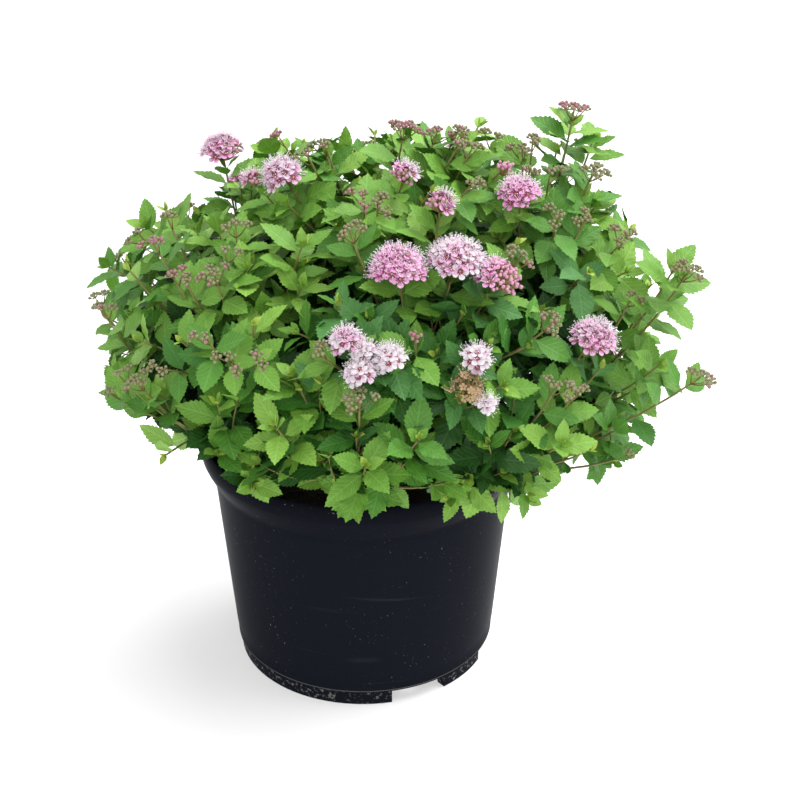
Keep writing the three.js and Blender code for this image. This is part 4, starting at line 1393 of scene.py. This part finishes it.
class SPIREA_OT_flowers(SpireaOperator, bpy.types.Operator):
    """Build the open flowers: petals, discs and stamens"""

    bl_idname = "spirea.flowers"
    bl_label = "Flowers"

    def execute(self, context):
        flowers = context.scene.spirea_flowers
        half = flowers.across / MM / 2
        blooms = [b for dome in domes(main_shoots()) for b in blooms_of(dome) if not b.kind.endswith("_bud")]
        petals = petal_shape()
        for kind, share in FOOT_SHARES.items():
            mine = [b for b in blooms if b.kind == kind]
            size = half * SHRIVELLED if kind == "withered" else half
            mesh = strewn(f"petals_{kind}", petals, mine, size, [b.seed * 1.7 for b in mine])
            material = petal_material(f"Spirea petal, {kind}", getattr(flowers, kind), flowers.foot, share)
            show(mesh, material)
        fresh = [b for b in blooms if b.kind != "withered"]
        for key, shape in (("disc", DISC), ("eye", EYE)):
            mesh = strewn(f"flower_{key}s", shape, fresh, half, [b.seed * 1.7 for b in fresh])
            material = mottled_material(f"Nectary, flower_{key}s", getattr(flowers, key), 1, 0.5)
            show(mesh, material)
        filament = mottled_material("Filament", flowers.filament, 2, 0.6, 0.12)
        show(stamen_mesh("stamens", fresh, flowers), filament)
        dry = [b for b in blooms if b.kind == "withered" and b.seed % 3 == 0]
        filament = mottled_material("Dried filament", flowers.dry_filament, 2, 0.6, 0.12)
        show(stamen_mesh("dry_stamens", dry, flowers), filament)
        return {"FINISHED"}


class SPIREA_OT_buds(SpireaOperator, bpy.types.Operator):
    """Build the buds, and the stalks of buds and flowers"""

    bl_idname = "spirea.buds"
    bl_label = "Buds and stalks"

    def execute(self, context):
        flowers = context.scene.spirea_flowers
        shoots = main_shoots()
        buds, stalks = [], []
        for dome in domes(shoots):
            foot = dome.middle - dome.axis * (dome.depth * 0.85 + 2)
            for bloom in blooms_of(dome):
                stalks.append((foot, bloom.place - bloom.normal * 0.4))
                if bloom.kind.endswith("_bud"):
                    buds.append(bloom)
        for shoot in shoots:
            if shoot.role == "cluster":
                root = shoot.line.tip - shoot.line.onward[-1] * 6
                for hub, bud in buds_of(shoot):
                    stalks += [(root, hub), (hub, bud.place)]
                    buds.append(bud)
        for kind in ("magenta_bud", "rosy_bud", "tan_bud", "dried_bud"):
            mine = [b for b in buds if b.kind == kind]
            mesh = strewn(f"{kind}s", BUD, mine, flowers.bud / MM / 2, np.arange(len(mine)) * 1.0)
            show(mesh, mottled_material(f"Sepals, {kind}", getattr(flowers, kind), 1.5, 0.6))
        ends = np.array(stalks)
        sag = (ends[:, 0] + ends[:, 1]) / 2 - UP * 0.6
        paths = np.stack([ends[:, 0], sag, ends[:, 1]], axis=1)
        points, triangles, _ = tubes(paths, np.tile(STALK, (len(ends), 1)), 4)
        downy = mottled_material("Downy stalk", context.scene.spirea_wood.stalk, 2, 0.75)
        show(array_mesh("stalks", points, triangles), downy)
        return {"FINISHED"}


class SPIREA_OT_stage(SpireaOperator, bpy.types.Operator):
    """Set the pale floor, the soft lights and the camera"""

    bl_idname = "spirea.stage"
    bl_label = "Stage"

    def execute(self, context):
        stage, scene = context.scene.spirea_stage, context.scene
        floor = self.floor(stage.floor)
        self.daylight(scene)
        lights = {name: self.softbox(name, *setup) for name, setup in SOFTBOXES.items()}
        # only the pot shades the floor's own lamp, so the shadow stays a short soft patch at the left
        lit = bpy.data.collections.new("lit by the floor lamp")
        shading = bpy.data.collections.new("shades the floor lamp")
        lit.objects.link(floor)
        pot = bpy.data.objects.get("nursery_pot")
        if pot is not None:
            shading.objects.link(pot)
        lights["floor lamp"].light_linking.receiver_collection = lit
        lights["floor lamp"].light_linking.blocker_collection = shading

        data = bpy.data.cameras.new("camera")
        data.sensor_width, data.lens, data.clip_start = 36, stage.lens, 0.01
        camera = placed("camera", data)
        level = math.cos(stage.elevation) * stage.distance
        camera.location = (stage.aside, -level, stage.aim + math.sin(stage.elevation) * stage.distance)
        camera.rotation_euler = (math.pi / 2 - stage.elevation, 0, 0)
        scene.camera = camera
        return {"FINISHED"}

    def floor(self, values):
        """A floor of backlit white acrylic: it glows, and a little more further out."""
        shape = bmesh.new()
        bmesh.ops.create_grid(shape, x_segments=1, y_segments=1, size=6)
        floor = placed("floor", mesh_of("floor", shape))
        material, tree = blank("Backlit white acrylic")
        place = add(tree, "TexCoord", {}, "Object")
        out = add(tree, "VectorMath", {0: place}, "Value", operation="LENGTH")
        lift = {"Value": out, "From Min": 0.4, "From Max": 1.2, "To Min": 0.56, "To Max": 0.78}
        glow = add(tree, "MapRange", lift)
        surface = {"Base Color": rgba(values, 0.3), "Roughness": 0.95}
        finish(material, {**surface, "Emission Color": rgba(values), "Emission Strength": glow})
        floor.data.materials.append(material)
        return floor

    def daylight(self, scene):
        world = bpy.data.worlds.new("Studio")
        world.use_nodes = True
        world.node_tree.nodes["Background"].inputs["Color"].default_value = (1, 1, 1, 1)
        world.node_tree.nodes["Background"].inputs["Strength"].default_value = 1.0
        scene.world = world
        scene.view_settings.view_transform = "Standard"
        scene.view_settings.look = "None"

    def softbox(self, name, place, aim, size, watts):
        data = bpy.data.lights.new(name, "AREA")
        data.shape, data.size, data.energy = "SQUARE", size, watts
        light = placed(name, data)
        light.location = place
        light.rotation_euler = (Vector(aim) - Vector(place)).to_track_quat("-Z", "Y").to_euler()
        return light


OPERATORS = (
    SPIREA_OT_pot,
    SPIREA_OT_mix,
    SPIREA_OT_wood,
    SPIREA_OT_twigs,
    SPIREA_OT_leaves,
    SPIREA_OT_flowers,
    SPIREA_OT_buds,
    SPIREA_OT_stage,
)
GROUPS = {
    "spirea_pot": SPIREA_PG_pot,
    "spirea_leaves": SPIREA_PG_leaves,
    "spirea_wood": SPIREA_PG_wood,
    "spirea_flowers": SPIREA_PG_flowers,
    "spirea_stage": SPIREA_PG_stage,
}


class SPIREA_PT_panel(bpy.types.Panel):
    bl_idname = "SPIREA_PT_panel"
    bl_label = "Potted Spirea"
    bl_space_type = "VIEW_3D"
    bl_region_type = "UI"
    bl_category = "Spirea"

    def draw(self, context):
        for operator in OPERATORS:
            self.layout.operator(operator.bl_idname)
        for group in GROUPS:
            settings = getattr(context.scene, group)
            for key in settings.bl_rna.properties.keys():
                if key not in ("rna_type", "name"):
                    self.layout.prop(settings, key)


def register():
    for cls in (*GROUPS.values(), *OPERATORS, SPIREA_PT_panel):
        bpy.utils.register_class(cls)
    for name, group in GROUPS.items():
        setattr(bpy.types.Scene, name, PointerProperty(type=group))


def unregister():
    for name in GROUPS:
        delattr(bpy.types.Scene, name)
    for cls in reversed((*GROUPS.values(), *OPERATORS, SPIREA_PT_panel)):
        bpy.utils.unregister_class(cls)


def main():
    register()
    for operator in OPERATORS:
        group, name = operator.bl_idname.split(".")
        getattr(getattr(bpy.ops, group), name)()


if __name__ == "__main__":
    main()
